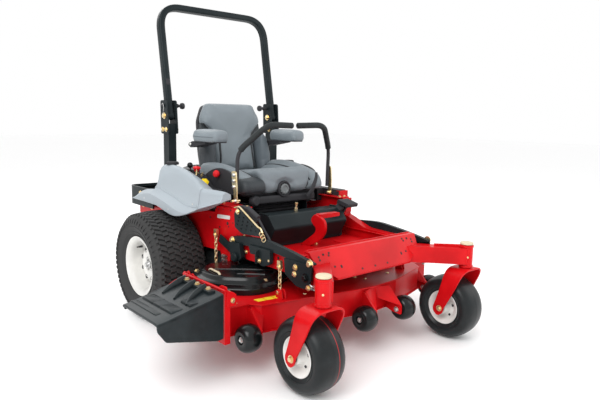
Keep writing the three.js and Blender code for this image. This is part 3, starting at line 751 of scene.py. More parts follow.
# ---------------------------------------------------------------- sub-assemblies
@dataclass
class DriveWheels:
    """Rear wheels: turf tyres on dished rims with a four-bolt hub."""

    x: float = 0.551
    radius: float = 0.305
    half: float = 0.152
    rim: float = 0.165
    lug_rows: int = 9
    lugs: int = 56
    lug_height: float = 0.009

    def build(self) -> None:
        """Builds both wheels."""
        for name, side in SIDES:
            self.tyre(name, side)
            self.rim_dish(name, side)
            dress(frame["nodes"][f"wheel_motor_{name}"], Finish.CHARCOAL, 35)
            soften(frame["nodes"][f"wheel_motor_{name}"], 0.004)

    def crown(self, across: float) -> float:
        """Radius of the tread at a distance from the wheel's middle plane."""
        share = abs(across) / self.half
        return self.radius - self.lug_height - 0.014 * share ** 2 - 0.03 * max(0.0, share - 0.8) ** 2 * 25

    def tyre(self, name: str, side: int) -> None:
        """Carcass with shoulder ribs and rings on its wall, and its tread of offset wedges.

        Args:
            name: right or left, as in the names of bodies and nodes.
            side: -1 for the right side, 1 for the left.
        """
        centre = (side * self.x, 0, self.radius)
        half, rim = self.half, self.rim
        wall = [(rim - 0.01, half - 0.046), (rim + 0.004, half - 0.034), (rim + 0.012, half - 0.022),
            (rim + 0.016, half - 0.022), (rim + 0.03, half - 0.01), (rim + 0.034, half - 0.013),
            (rim + 0.06, half - 0.002), (rim + 0.064, half - 0.005), (rim + 0.08, half - 0.001),
            (rim + 0.104, half - 0.008), (rim + 0.118, half - 0.018), (self.crown(half * 0.86),
            half * 0.86)]
        tread = [(self.crown(half * s), half * s) for s in (0.6, 0.3, 0.0, -0.3, -0.6)]
        profile = wall + tread + [(r, -z) for r, z in reversed(wall)]
        body = Mesher().lathe(profile, centre, (1, 0, 0), 96, loop=True)
        pitch = 2 * math.pi / self.lugs
        for row in range(self.lug_rows):
            across = (row - (self.lug_rows - 1) / 2) / ((self.lug_rows - 1) / 2) * self.half * 0.9
            lean = 1 if row % 2 else -1
            for k in range(self.lugs):
                self.lug(body, centre, across, (k + 0.5 * (row % 2)) * pitch, lean, pitch)
        body.piece(f"turf_tyre_{name}", f"drive_wheel_{name}", Finish.TYRE, [f"drive_tyre_{name}"],
            crease_angle=28)

    def lug(self, body: Mesher, centre: Point, across: float, angle: float, lean: int,
            pitch: float) -> None:
        """One slanted tread block, narrower at its top.

        Args:
            body: the mesher that takes the faces.
            centre: its middle.
            across: place across the tread.
            angle: place round the wheel, in radians.
            lean: slant of the lug.
            pitch: angle from lug to lug.
        """
        width = self.half * 2 / self.lug_rows * 0.54
        reach = self.radius * pitch * 0.44
        rings = []
        for rise, grow in ((-0.003, 1.0), (self.lug_height * 0.75, 0.93), (self.lug_height, 0.8)):
            ring = []
            for u, v in ((-1, -1), (1, -0.55), (1, 1), (-1, 0.55)):
                x = across + u * width * grow
                turn = angle + (v * grow * reach + lean * u * reach * 0.34) / self.radius
                r = self.crown(x) + rise
                ring.append((centre[0] + x, centre[1] + r * math.cos(turn),
                    centre[2] + r * math.sin(turn)))
            rings.append(ring)
        body.loft(rings)

    def rim_dish(self, name: str, side: int) -> None:
        """Rim with rolled flanges, valve and hub, and black cups as painted shade for the hand holes.

        Args:
            name: right or left, as in the names of bodies and nodes.
            side: -1 for the right side, 1 for the left.
        """
        centre = (side * self.x, 0, self.radius)
        axis = (side, 0, 0)
        out = self.half - 0.026
        profile = [(0.0, 0.05), (0.046, 0.05), (0.058, 0.058), (0.08, 0.06), (0.096, 0.052),
            (0.112, 0.04), (0.124, 0.03), (0.134, 0.034), (0.139, 0.05), (0.142, out - 0.03),
            (0.146, out - 0.014), (0.156, out - 0.008), (0.166, out - 0.005), (0.1695, out),
            (0.1695, out + 0.003), (0.163, out + 0.002), (0.153, out - 0.002), (0.14, out - 0.009),
            (0.135, out - 0.03), (0.131, 0.05), (0.128, 0.04), (0.112, 0.047), (0.096, 0.06),
            (0.08, 0.068), (0.058, 0.066), (0.046, 0.059), (0.0, 0.059)]
        dish = Mesher().lathe(profile[:13] + profile[14:], centre, axis, 72)
        back = [(0.136, 0.036), (0.141, 0.02), (0.141, -out + 0.03), (0.146, -out + 0.012),
            (0.166, -out + 0.004), (0.166, -out), (0.15, -out + 0.004), (0.136, -out + 0.03),
            (0.133, 0.02), (0.133, 0.036)]
        dish.lathe(back, centre, axis, 72, loop=True)
        dish.piece(f"drive_dish_{name}", f"drive_wheel_{name}", Finish.RIM, [f"drive_rim_{name}"],
            crease_angle=50)
        nuts = Mesher()
        holes = Mesher()
        for k in range(4):
            a = math.pi / 4 + k * math.pi / 2
            spot = (side * (self.x + 0.059), 0.036 * math.cos(a), self.radius + 0.036 * math.sin(a))
            nuts.bolt(spot, axis, 0.01)
        # Black cups stand in for the hand holes: painted shade.
        for k in range(8):
            a = math.pi / 8 + k * math.pi / 4
            spot = (side * (self.x + 0.0645), 0.083 * math.cos(a), self.radius + 0.083 * math.sin(a))
            holes.lathe([(0.0, 0.0), (0.0075, 0.0), (0.01, 0.0035), (0.0125, 0.0035), (0.0125, 0.0),
                (0.0115, -0.004), (0.0, -0.004)], spot, axis, 14)
        nuts.lathe([(0, 0), (0.023, 0), (0.023, 0.014), (0.019, 0.019), (0.012, 0.021), (0, 0.021)],
            (side * (self.x + 0.058), 0, self.radius), axis, 28)
        nuts.bolt((side * (self.x + 0.077), 0, self.radius), axis, 0.013)
        valve = (side * (self.x + 0.062), 0.088, self.radius + 0.088)
        nuts.piece(f"hub_nuts_{name}", f"drive_wheel_{name}", Finish.BRIGHT, crease_angle=30)
        holes.lathe([(0, 0), (0.006, 0), (0.005, 0.02), (0.0035, 0.022), (0.0035, 0.034), (0, 0.034)],
            valve, axis, 12)
        holes.piece(f"dark_bores_{name}", f"drive_wheel_{name}", Finish.BLACK, crease_angle=30)


@dataclass
class Casters:
    """Front casters: bent strap forks, smooth tyres with a mould line, and spoked rims."""

    x: float = 0.509
    y: float = -1.332
    trail: float = 0.081
    radius: float = 0.167
    half: float = 0.08
    strap: float = 0.009
    crown: float = 0.392

    def build(self) -> None:
        """Builds both casters."""
        for name, side in SIDES:
            self.fork(name, side)
            self.tyre(name, side)
            self.rim(name, side)
            self.pivot_trim(name, side)

    def fork(self, name: str, side: int) -> None:
        """Inverted U of bent bar whose legs lean back to the axle.

        Args:
            name: right or left, as in the names of bodies and nodes.
            side: -1 for the right side, 1 for the left.
        """
        outer = self.half + 0.0165
        arch = filleted([(-outer, 0.128), (-outer, self.crown), (outer, self.crown),
            (outer, 0.128)], 0.066, 10)
        axle = Vector((self.trail, self.radius))
        rings = []
        for u, z in [(p[0], p[1]) for p in self.dense(arch)]:
            drop = max(0.0, min(1.0, (self.crown - z) / (self.crown - self.radius)))
            mid = 0.006 + (axle.x + 0.004) * drop ** 1.25
            wide = 0.054 - 0.022 * drop
            if z < self.radius:
                wide *= math.sqrt(max(0.05, 1 - ((self.radius - z) / 0.04) ** 2))
                mid = axle.x + 0.01
            rings.append((u, z, mid - wide, mid + wide))
        inward = self.inset(rings)
        body = Mesher()
        bands = []
        for (u, z, low, high), (iu, iz) in zip(rings, inward):
            bands.append([(u, low, z), (u, high, z), (iu, high, iz), (iu, low, iz)])
        body.loft([[(side * self.x + p[0], self.y + p[1], p[2]) for p in band] for band in bands])
        stem = [(0, self.crown - 0.004), (0.03, self.crown - 0.004), (0.03, self.crown + 0.0005),
                (0.0165, self.crown + 0.0015), (0.0165, 0.513), (0.0, 0.513)]
        body.lathe(stem, (side * self.x, self.y, 0), (0, 0, 1), 28)
        body.piece(f"fork_{name}", f"caster_{name}", Finish.RED, [f"caster_fork_{name}"], bevel=0.0022,
            crease_angle=32)
        axle_bar = Mesher()
        spot = Vector((side * self.x, self.y + self.trail, self.radius))
        reach = self.half + 0.0165
        axle_bar.lathe([(0, -reach - 0.004), (0.008, -reach - 0.004), (0.008, reach + 0.004),
            (0, reach + 0.004)], spot, (1, 0, 0), 16)
        for way in (-1, 1):
            axle_bar.bolt(spot + Vector((way * reach, 0, 0)), (way, 0, 0), 0.0115)
        axle_bar.piece(f"fork_axle_{name}", f"caster_{name}", Finish.ZINC, crease_angle=30)

    def dense(self, line: Sequence[Vector], step: float = 0.014) -> list[Vector]:
        """Line with extra points on its straight runs.

        Args:
            line: the line's points.
            step: greatest distance between two points.
        Returns:
            The line's points.
        """
        made = [line[0]]
        for here, after in zip(line, line[1:]):
            count = max(1, round((after - here).length / step))
            made += [here.lerp(after, (k + 1) / count) for k in range(count)]
        return made

    def inset(self, rings: Sequence[Sequence[float]]) -> Outline:
        """Inner line of the strap, one thickness inside its outer line.

        Args:
            rings: the rings in order.
        Returns:
            The outline's points.
        """
        made = []
        for i, ring in enumerate(rings):
            before, after = rings[max(0, i - 1)], rings[min(len(rings) - 1, i + 1)]
            ahead = Vector((after[0] - before[0], after[1] - before[1])).normalized()
            made.append((ring[0] + ahead.y * self.strap, ring[1] - ahead.x * self.strap))
        return made

    def tyre(self, name: str, side: int) -> None:
        """Smooth round-shouldered tyre with fine rings on its wall.

        Args:
            name: right or left, as in the names of bodies and nodes.
            side: -1 for the right side, 1 for the left.
        """
        bead = 0.08
        wall = [(bead - 0.004, 0.05), (bead + 0.004, 0.058), (bead + 0.01, 0.064), (bead + 0.014, 0.064),
            (bead + 0.026, 0.0745), (bead + 0.029, 0.0725), (bead + 0.04, 0.079), (bead + 0.05, 0.0792),
            (bead + 0.06, 0.0765), (bead + 0.07, 0.069), (bead + 0.078, 0.056), (bead + 0.083, 0.04),
            (bead + 0.0855, 0.022), (self.radius - 0.0005, 0.006), (self.radius, 0.0)]
        profile = wall + [(r, -z) for r, z in reversed(wall[:-1])]
        centre = (side * self.x, self.y + self.trail, self.radius)
        Mesher().lathe(profile, centre, (1, 0, 0), 96, loop=True).piece(f"smooth_tyre_{name}",
            f"caster_wheel_{name}", Finish.CASTER, [f"caster_tyre_{name}"], crease_angle=35)

    def rim(self, name: str, side: int) -> None:
        """Two dished halves, with black hub seals and black discs as painted shade for the round holes
        between hub and barrel.

        Args:
            name: right or left, as in the names of bodies and nodes.
            side: -1 for the right side, 1 for the left.
        """
        centre = Vector((side * self.x, self.y + self.trail, self.radius))
        body = Mesher()
        for way in (-1, 1):
            face = [(0.01, 0.078), (0.021, 0.078), (0.024, 0.07), (0.026, 0.04), (0.034, 0.034),
                (0.052, 0.03), (0.064, 0.034), (0.069, 0.046), (0.073, 0.056), (0.084, 0.062),
                (0.089, 0.066), (0.0865, 0.068), (0.078, 0.064), (0.066, 0.056), (0.06, 0.044),
                (0.052, 0.0385), (0.036, 0.0425), (0.031, 0.05), (0.029, 0.074), (0.026, 0.0795),
                (0.01, 0.0795)]
            body.lathe(face, centre, (way, 0, 0), 56, loop=True)
        body.piece(f"caster_dish_{name}", f"caster_wheel_{name}", Finish.RIM, [f"caster_rim_{name}"],
            crease_angle=40)
        trim = Mesher()
        for way in (-1, 1):
            trim.lathe([(0.0, 0.0795), (0.0185, 0.0795), (0.0185, 0.0815), (0.0, 0.0815)], centre,
                (way, 0, 0), 24)
            # Black discs stand in for the round holes: painted shade.
            for k in range(5):
                a = 2 * math.pi * k / 5 + 0.3
                spot = centre + Vector((way * 0.0385, 0.047 * math.cos(a), 0.047 * math.sin(a)))
                trim.lathe([(0, 0), (0.006, 0), (0.0075, 0.0025), (0, 0.0025)], spot, (way, 0, 0), 12)
        trim.piece(f"caster_seals_{name}", f"caster_wheel_{name}", Finish.BLACK, crease_angle=30)

    def pivot_trim(self, name: str, side: int) -> None:
        """Cap on the pivot, its collars and grease fitting, and the red finish of the caster arm.

        Args:
            name: right or left, as in the names of bodies and nodes.
            side: -1 for the right side, 1 for the left.
        """
        node = frame["nodes"][f"caster_arm_{name}"]
        dress(node, Finish.RED, 32)
        soften(node, 0.0025)
        place = (side * self.x, self.y, 0)
        cap = [(0.0, 0.5135), (0.031, 0.5135), (0.0335, 0.516), (0.0335, 0.521), (0.031, 0.525),
            (0.012, 0.5275), (0.0, 0.528)]
        Mesher().lathe(cap, place, (0, 0, 1), 36).piece(f"pivot_cap_{name}", f"caster_{name}", Finish.CAP)
        collar = Mesher()
        for z in (0.396, 0.4995):
            collar.lathe([(0.0343, z), (0.0362, z + 0.001), (0.0362, z + 0.01), (0.0343, z + 0.011)],
                place, (0, 0, 1), 36)
        collar.piece(f"pivot_collar_{name}", "frame", Finish.RED)
        grease = Mesher()
        spot = Vector((side * self.x - 0.024, self.y - 0.0245, 0.452))
        grease.lathe([(0, 0), (0.005, 0), (0.005, 0.004), (0.003, 0.005), (0.0035, 0.01), (0, 0.012)],
            spot, (-0.7, -0.7, 0), 10)
        grease.piece(f"grease_fitting_{name}", "frame", Finish.ZINC, crease_angle=30)


@dataclass
class RollBar:
    """Folding hoop of rounded box tube, its posts, pivot plates, bolts and lock pins."""

    x: float = 0.385
    y: float = 0.165
    pivot_z: float = 1.146
    height: float = 0.68
    lean: float = math.radians(10)
    width: float = 0.038
    depth: float = 0.05

    def build(self) -> None:
        """Builds hoop, posts, pins and bolts."""
        self.hoop()
        self.posts()
        for name, side in SIDES:
            self.pins(name, side)

    def lean_point(self, x: float, up: float, back: float = 0.0) -> Vector:
        """Point of the leaned hoop, given along and across it from the pivot."""
        return Vector((x, self.y + up * math.sin(self.lean) + back * math.cos(self.lean),
            self.pivot_z + up * math.cos(self.lean) - back * math.sin(self.lean)))

    def hoop(self) -> None:
        """Bent tube of the hoop with its welded end blocks."""
        mid = self.height - self.width / 2
        spine = filleted([(-self.x, 0.0, 0), (-self.x, mid, 0), (self.x, mid, 0),
            (self.x, 0.0, 0)], 0.138, 14)
        path = [self.lean_point(p.x, p.y) for p in spine]
        outward = self.lean_point(0, 0, 1) - self.lean_point(0, 0, 0)
        body = Mesher().sweep(path, bar_section(self.width, self.depth, 0.012), up=outward)
        for side in (-1, 1):
            body.lathe([(0, -self.width / 2), (self.depth / 2, -self.width / 2),
                (self.depth / 2, self.width / 2), (0, self.width / 2)],
                (side * self.x, self.y, self.pivot_z), (1, 0, 0), 32)
        body.piece("roll_bar_hoop", "roll_bar", Finish.CHARCOAL, ["rops_hoop"], bevel=0.0015,
            crease_angle=34)
        label = Mesher().plate("y", oblong(-0.03, -0.018, 0.03, 0.018, 0.004, 3), -0.0012, 0.0)
        label.points = [self.lean_point(p.x * 0.45 - self.x, 0.2 + p.z,
            -self.depth / 2 - 0.0002 + p.y) for p in label.points]
        label.piece("blank_hoop_plate", "roll_bar", Finish.BLACK)

    def posts(self) -> None:
        """Posts keep their solids and are dressed; foot brackets are added."""
        for name, side in SIDES:
            node = frame["nodes"][f"rops_post_{name}"]
            dress(node, Finish.CHARCOAL, 32)
            soften(node, 0.0045, 3)
            foot = Mesher()
            x = side * self.x
            foot.block((x - 0.036, self.y - 0.062, 0.5975), (x + 0.036, self.y + 0.062, 0.606))
            foot.plate("x", [(self.y - 0.058, 0.606), (self.y + 0.058, 0.606), (self.y + 0.034, 0.69),
                (self.y - 0.034, 0.69)], x - side * 0.0255 - 0.003, x - side * 0.0255 + 0.003)
            foot.piece(f"post_foot_{name}", "frame", Finish.CHARCOAL, bevel=0.002)

    def pins(self, name: str, side: int) -> None:
        """Pivot bolt, lock pin with its knob and spring clip.

        Args:
            name: right or left, as in the names of bodies and nodes.
            side: -1 for the right side, 1 for the left.
        """
        bolts = Mesher()
        outer = side * (self.x + 0.0335)
        inner = side * (self.x - 0.0335)
        for spot, size in (((outer, self.y, self.pivot_z), 0.013), ((outer, self.y - 0.02, 1.066), 0.01),
                ((outer, self.y + 0.02, 1.066), 0.01)):
            bolts.bolt(spot, (side, 0, 0), size)
            bolts.bolt((inner, *spot[1:]), (-side, 0, 0), size)
        bolts.piece(f"pivot_bolts_{name}", "frame", Finish.ZINC, crease_angle=30)
        pin = Mesher()
        spot = Vector((side * self.x, self.y + 0.012, 1.206))
        pin.lathe([(0, 0.03), (0.0085, 0.03), (0.0085, 0.052), (0.0125, 0.054), (0.0125, 0.062),
            (0.008, 0.064), (0.008, 0.08), (0.0175, 0.083), (0.0195, 0.092), (0.0175, 0.101),
            (0.01, 0.104), (0, 0.104)], spot, (-side, 0, 0), 24)
        pin.lathe([(0, 0.033), (0.011, 0.033), (0.011, 0.041), (0.007, 0.044), (0, 0.044)], spot,
            (side, 0, 0), 20)
        pin.piece(f"lock_pin_{name}", "frame", Finish.BLACK, crease_angle=35)
        clip = flowing([spot + Vector(p) for p in ((side * 0.044, 0.0, 0.004),
            (side * 0.046, -0.016, 0.012), (side * 0.046, -0.026, -0.01), (side * 0.045, -0.018, -0.04),
            (side * 0.044, -0.01, -0.05))], 6)
        Mesher().sweep(clip, circle(0.0016, 8)).piece(f"pin_clip_{name}", "frame", Finish.BRIGHT)


@dataclass
class Levers:
    """Control levers: thin tubes with foam grips and their zinc-plated brackets."""

    x: float = 0.33
    y: float = -0.471
    tube: float = 0.0105
    grip: float = 0.0165

    def build(self) -> None:
        """Builds both levers."""
        for name, side in SIDES:
            self.tube_and_grip(name, side)
            self.bracket(name, side)

    def tube_and_grip(self, name: str, side: int) -> None:
        """Bent tube and foam grip with tapered ends.

        Args:
            name: right or left, as in the names of bodies and nodes.
            side: -1 for the right side, 1 for the left.
        """
        y = self.y
        corner = [(-self.x, y + 0.01, 0.742), (-self.x, y + 0.004, 0.966), (-0.199, y - 0.09, 1.109),
            (-0.018, y - 0.068, 1.104)]
        path = filleted(corner, 0.055, 10)
        tube = Mesher().sweep(path, circle(self.tube, 16), up=(0, 1, 0)).flipped(side)
        tube.piece(f"lever_tube_{name}", f"control_lever_{name}", Finish.BLACK, [f"lever_{name}"])
        start = next(i for i, p in enumerate(path) if p.z > 0.962)
        foam = path[start:]

        def taper(share: float) -> float:
            """Narrower at both ends of the grip."""
            return 0.8 if share in (0.0, 1.0) else 1.0

        ends = [foam[0], foam[0].lerp(foam[1], 0.25), *foam[1:-1], foam[-2].lerp(foam[-1],
            0.97), foam[-1]]
        grip = Mesher().sweep(ends, circle(self.grip, 24), up=(0, 1, 0), scale=taper).flipped(side)
        grip.piece(f"foam_grip_{name}", f"control_lever_{name}", Finish.FOAM)

    def bracket(self, name: str, side: int) -> None:
        """Strap with three bolts and a bent foot.

        Args:
            name: right or left, as in the names of bodies and nodes.
            side: -1 for the right side, 1 for the left.
        """
        y = self.y
        outline = evenly_rounded([(y - 0.014, 0.69), (y + 0.012, 0.69), (y + 0.014, 0.76),
            (y + 0.028, 0.778), (y + 0.034, 0.862), (y - 0.006, 0.862), (y - 0.014, 0.78)], 0.01, 4)
        far = -(self.x + self.tube + 0.0075)
        strap = Mesher().plate("x", outline, far, far + 0.006)
        strap.lathe([(0, -0.043), (0.008, -0.043), (0.008, 0.01), (0, 0.01)], (-self.x, y, 0.705),
            (1, 0, 0), 16)
        strap.plate("x", rounded([(y - 0.014, 0.6945, 0.004), (y + 0.018, 0.6945, 0.01),
            (y + 0.018, 0.7, 0.004), (y - 0.014, 0.702, 0.004)], 3), far, far + 0.016)
        strap.flipped(side).piece(f"lever_strap_{name}", f"control_lever_{name}", Finish.ZINC,
            [f"lever_bracket_{name}"], bevel=0.0012)
        bolts = Mesher()
        for z in (0.78, 0.812, 0.843):
            bolts.bolt((far, y + 0.012, z), (-1, 0, 0), 0.0085)
        bolts.bolt((far, y, 0.705), (-1, 0, 0), 0.0095)
        bolts.flipped(side).piece(f"lever_bolts_{name}", f"control_lever_{name}", Finish.BRIGHT,
            crease_angle=30)


@dataclass
class Studio:
    """Plain pale floor, soft light and the camera."""

    sight: Point = (-2.026, -2.925, 1.144)
    azimuth: float = -40.991
    down: float = 8.224
    roll: float = 0.998
    lens: float = 33.851

    def build(self) -> None:
        """Builds floor, lights and camera."""
        self.floor()
        self.world()
        self.lamp("key", (-3.6, -2.6, 4.4), 3.0, 170)
        self.lamp("fill", (3.8, -3.6, 3.2), 3.0, 40)
        self.lamp("rim", (0.5, 4.2, 4.4), 4.0, 90)
        self.camera()

    def floor(self) -> None:
        """One wide pale sheet with a faint unevenness."""
        mesh = bpy.data.meshes.new("floor")
        mesh.from_pydata([(-30, -30, 0), (30, -30, 0), (30, 30, 0), (-30, 30, 0)], [], [(0, 1, 2, 3)])
        floor = bpy.data.objects.new("floor", mesh)
        bpy.context.scene.collection.objects.link(floor)
        g = Graph("pale_floor")
        tone = g.blend(g.noise(1.2, 3), (0.975, 0.975, 0.975), (0.985, 0.985, 0.985))
        mesh.materials.append(g.finish(Base_Color=tone, Roughness=0.7))

    def world(self) -> None:
        """Even white surroundings."""
        world = bpy.data.worlds.new("studio")
        bpy.context.scene.world = world
        world.use_nodes = True
        background = world.node_tree.nodes["Background"]
        background.inputs["Color"].default_value = (1, 1, 1, 1)
        background.inputs["Strength"].default_value = 1.0
        bpy.context.scene.view_settings.view_transform = "Standard"

    def lamp(self, name: str, spot: Point, size: float, power: float) -> None:
        """One square soft light aimed at the machine.

        Args:
            name: the lamp's name.
            spot: where it stands.
            size: its width in metres.
            power: its power in watts.
        """
        data = bpy.data.lights.new(name, "AREA")
        data.size = size
        data.energy = power
        lamp = bpy.data.objects.new(name, data)
        bpy.context.scene.collection.objects.link(lamp)
        lamp.location = Vector(spot) + SHIFT
        aim = Vector((0, -0.4, 0.5)) - Vector(spot)
        lamp.rotation_euler = aim.to_track_quat("-Z", "Y").to_euler()

    def camera(self) -> None:
        """Camera at the machine's front right."""
        a, e, r = (math.radians(v) for v in (self.azimuth, self.down, self.roll))
        ahead = Vector((-math.sin(a) * math.cos(e), math.cos(a) * math.cos(e), -math.sin(e)))
        right = Vector((math.cos(a), math.sin(a), 0))
        up = right.cross(ahead)
        turned_right = right * math.cos(r) + up * math.sin(r)
        turned_up = up * math.cos(r) - right * math.sin(r)
        data = bpy.data.cameras.new("camera")
        data.sensor_width = 36.0
        data.lens = self.lens
        camera = bpy.data.objects.new("camera", data)
        bpy.context.scene.collection.objects.link(camera)
        turn = Matrix((turned_right, turned_up, -ahead)).transposed().to_4x4()
        camera.matrix_world = Matrix.Translation(Vector(self.sight) + SHIFT) @ turn
        bpy.context.scene.camera = camera


@dataclass
class Tanks:
    """Moulded tanks over the drive wheels: a hood above a flared fender lip.

    A station along y gives bottom, top of the lip and top of the hood, then the outer reach of lip, hood
    foot and hood shoulder from the middle plane.
    """

    inner: float = 0.4165
    wall: float = 0.571
    foot: float = 0.534
    shoulder: float = 0.508
    rear: tuple = ((0.309, 0.648, 0.655, 0.655), (0.285, 0.6475, 0.668, 0.668),
        (0.25, 0.647, 0.686, 0.686), (0.191, 0.647, 0.707, 0.707), (0.13, 0.646, 0.719, 0.719),
        (0.08, 0.645, 0.7235, 0.7235))
    right_hood: tuple = ((0.07, 0.645, 0.724, 0.7245), (0.067, 0.645, 0.724, 0.745),
        (0.06, 0.644, 0.723, 0.815), (0.052, 0.644, 0.722, 0.858), (0.04, 0.643, 0.721, 0.8695),
        (0.0, 0.643, 0.716, 0.8735), (-0.041, 0.636, 0.708, 0.875), (-0.09, 0.625, 0.7, 0.874),
        (-0.138, 0.616, 0.69, 0.869), (-0.19, 0.6085, 0.678, 0.859), (-0.231, 0.61, 0.667, 0.848),
        (-0.302, 0.625, 0.655, 0.825), (-0.35, 0.644, 0.662, 0.802), (-0.38, 0.655, 0.669, 0.788),
        (-0.402, 0.665, 0.676, 0.78), (-0.4085, 0.668, 0.679, 0.7785), (-0.412, 0.6695, 0.6805, 0.778),
        (-0.4155, 0.671, 0.682, 0.7775), (-0.465, 0.69, 0.699, 0.7745), (-0.504, 0.703, 0.712, 0.771),
        (-0.522, 0.7095, 0.7185, 0.768), (-0.531, 0.712, 0.721, 0.766), (-0.534, 0.714, 0.723, 0.7635))
    left_hood: tuple = ((0.172, 0.646, 0.711, 0.735), (0.15, 0.646, 0.715, 0.775),
        (0.128, 0.646, 0.719, 0.815), (0.108, 0.646, 0.722, 0.843), (0.07, 0.645, 0.722, 0.845),
        (0.02, 0.645, 0.718, 0.824), (-0.025, 0.648, 0.704, 0.78), (-0.06, 0.651, 0.696, 0.742),
        (-0.11, 0.656, 0.69, 0.723), (-0.17, 0.671, 0.684, 0.712), (-0.183, 0.678, 0.686, 0.706))

    def build(self) -> None:
        """Builds both tanks with caps and seams."""
        self.shell("right", -1, self.rear + self.right_hood)
        self.shell("left", 1, self.rear[:4] + self.left_hood)
        self.beads()
        self.trim()

    def reach(self, y: float) -> tuple[float, float, float]:
        """Outer reach of lip, hood foot and shoulder; the front third turns inwards.

        Args:
            y: place along the machine.
        Returns:
            The three distances from the middle plane.
        """
        lip = self.wall
        if y < -0.231:
            lip = max(self.foot + 0.004, self.wall - (-0.231 - y) * 0.16)
        turn = max(0.0, -0.412 - y) * 0.5
        if abs(y + 0.412) < 0.001:
            turn = -0.0035
        return lip - turn, self.foot - turn, self.shoulder + min(0.02, max(0.0, -0.3 - y) * 0.15) - turn

    def ring(self, station: Sequence[float]) -> list[tuple[float, float, float]]:
        """Section of the shell at one station.

        Args:
            station: one row of the tank's stations.
        Returns:
            The section's points.
        """
        y, low, lip, top = station
        wall, foot, shoulder = self.reach(y)
        inner = self.inner
        rise, span = max(0.0, top - lip), wall - foot
        flare = min(0.02, (lip - low) * 0.7)
        soft = min(0.026, rise * 0.45 + 0.002)
        sag = min(0.036, rise * 0.25)
        made = [(inner, low + 0.012), ((inner * 2 + wall) / 3, low + 0.012), (wall - 0.012, low + 0.002),
            (wall - 0.004, low), (wall, low + 0.003), (wall + 0.0005, lip - flare * 1.1),
            (wall - span * 0.05, lip - flare), (wall - span * 0.27, lip - flare * 0.62),
            (foot + span * 0.27, lip + flare * 0.15), (foot + 0.001, lip + min(flare, rise * 0.2)),
            (foot - 0.001, lip + min(flare * 1.2, rise * 0.25))]
        for share in (0.35, 0.6, 0.82):
            made.append((foot + (shoulder - foot) * share - 0.001,
                lip + (rise - soft) * share + min(flare, rise * 0.15)))
        for k in range(6):
            a = k / 5 * math.pi / 2
            made.append((shoulder - soft * (1 - math.cos(a)), top - soft + soft * math.sin(a)))
        made += [((shoulder - soft) * 0.5 + inner * 0.5, top - sag * 0.45), (inner + 0.008, top - sag),
            (inner + 0.002, top - sag - min(0.002, soft * 0.3)),
            (inner, top - sag - min(0.008, soft * 0.5))]
        return [(-x, y, z) for x, z in made]

    def shell(self, name: str, side: int, stations: Sequence[Sequence[float]]) -> None:
        """One tank's skin.

        Args:
            name: right or left, as in the names of bodies and nodes.
            side: -1 for the right side, 1 for the left.
            stations: the tank's stations from front to rear.
        """
        body = Mesher().loft([self.ring(station) for station in stations]).flipped(side)
        body.piece(f"tank_shell_{name}", "frame", Finish.TANK, [f"fuel_tank_{name}"], bevel=0.0012,
            rounding=1, crease_angle=42)

    def beads(self) -> None:
        """Raised beads: one down the front crease, one along the foot of each hood."""
        for name, side, stations in (("right", -1, self.right_hood), ("left", 1, self.left_hood)):
            bead = Mesher()
            foot = [self.ring(station)[9] for station in stations if -0.405 < station[0] < 0.07]
            bead.sweep(foot, circle(0.0032, 8))
            if side < 0:
                crease = next(station for station in stations if station[0] == -0.412)
                bead.sweep(self.ring(crease)[4:19], circle(0.003, 8))
            bead.flipped(side).piece(f"tank_bead_{name}", "frame", Finish.TANK)

    def trim(self) -> None:
        """Filler caps and fixing screws."""
        for name, side, y, z in (("right", -1, -0.02, 0.876), ("left", 1, 0.075, 0.846)):
            cap = Mesher()
            spot = (side * 0.47, y, z - 0.004)
            cap.lathe([(0, 0), (0.034, 0), (0.034, 0.012), (0.031, 0.016), (0.01, 0.018), (0, 0.018)],
                spot, (0, 0, 1), 40)
            for k in range(20):
                a = 2 * math.pi * k / 20
                edge = Vector((spot[0] + 0.034 * math.cos(a), spot[1] + 0.034 * math.sin(a),
                    spot[2] + 0.001))
                cap.lathe([(0, 0), (0.0028, 0), (0.0028, 0.01), (0, 0.012)], edge, (0, 0, 1), 6)
            cap.piece(f"filler_cap_{name}", "frame", Finish.BLACK, crease_angle=35)
        screws = Mesher()
        for y, z in ((-0.412, 0.7), (-0.15, 0.64), (0.14, 0.668)):
            screws.lathe([(0, 0), (0.006, 0), (0.0055, 0.002), (0, 0.0032)], (-0.5695, y, z),
                (-1, 0, 0), 14)
        screws.piece("tank_screws", "frame", Finish.BRIGHT)


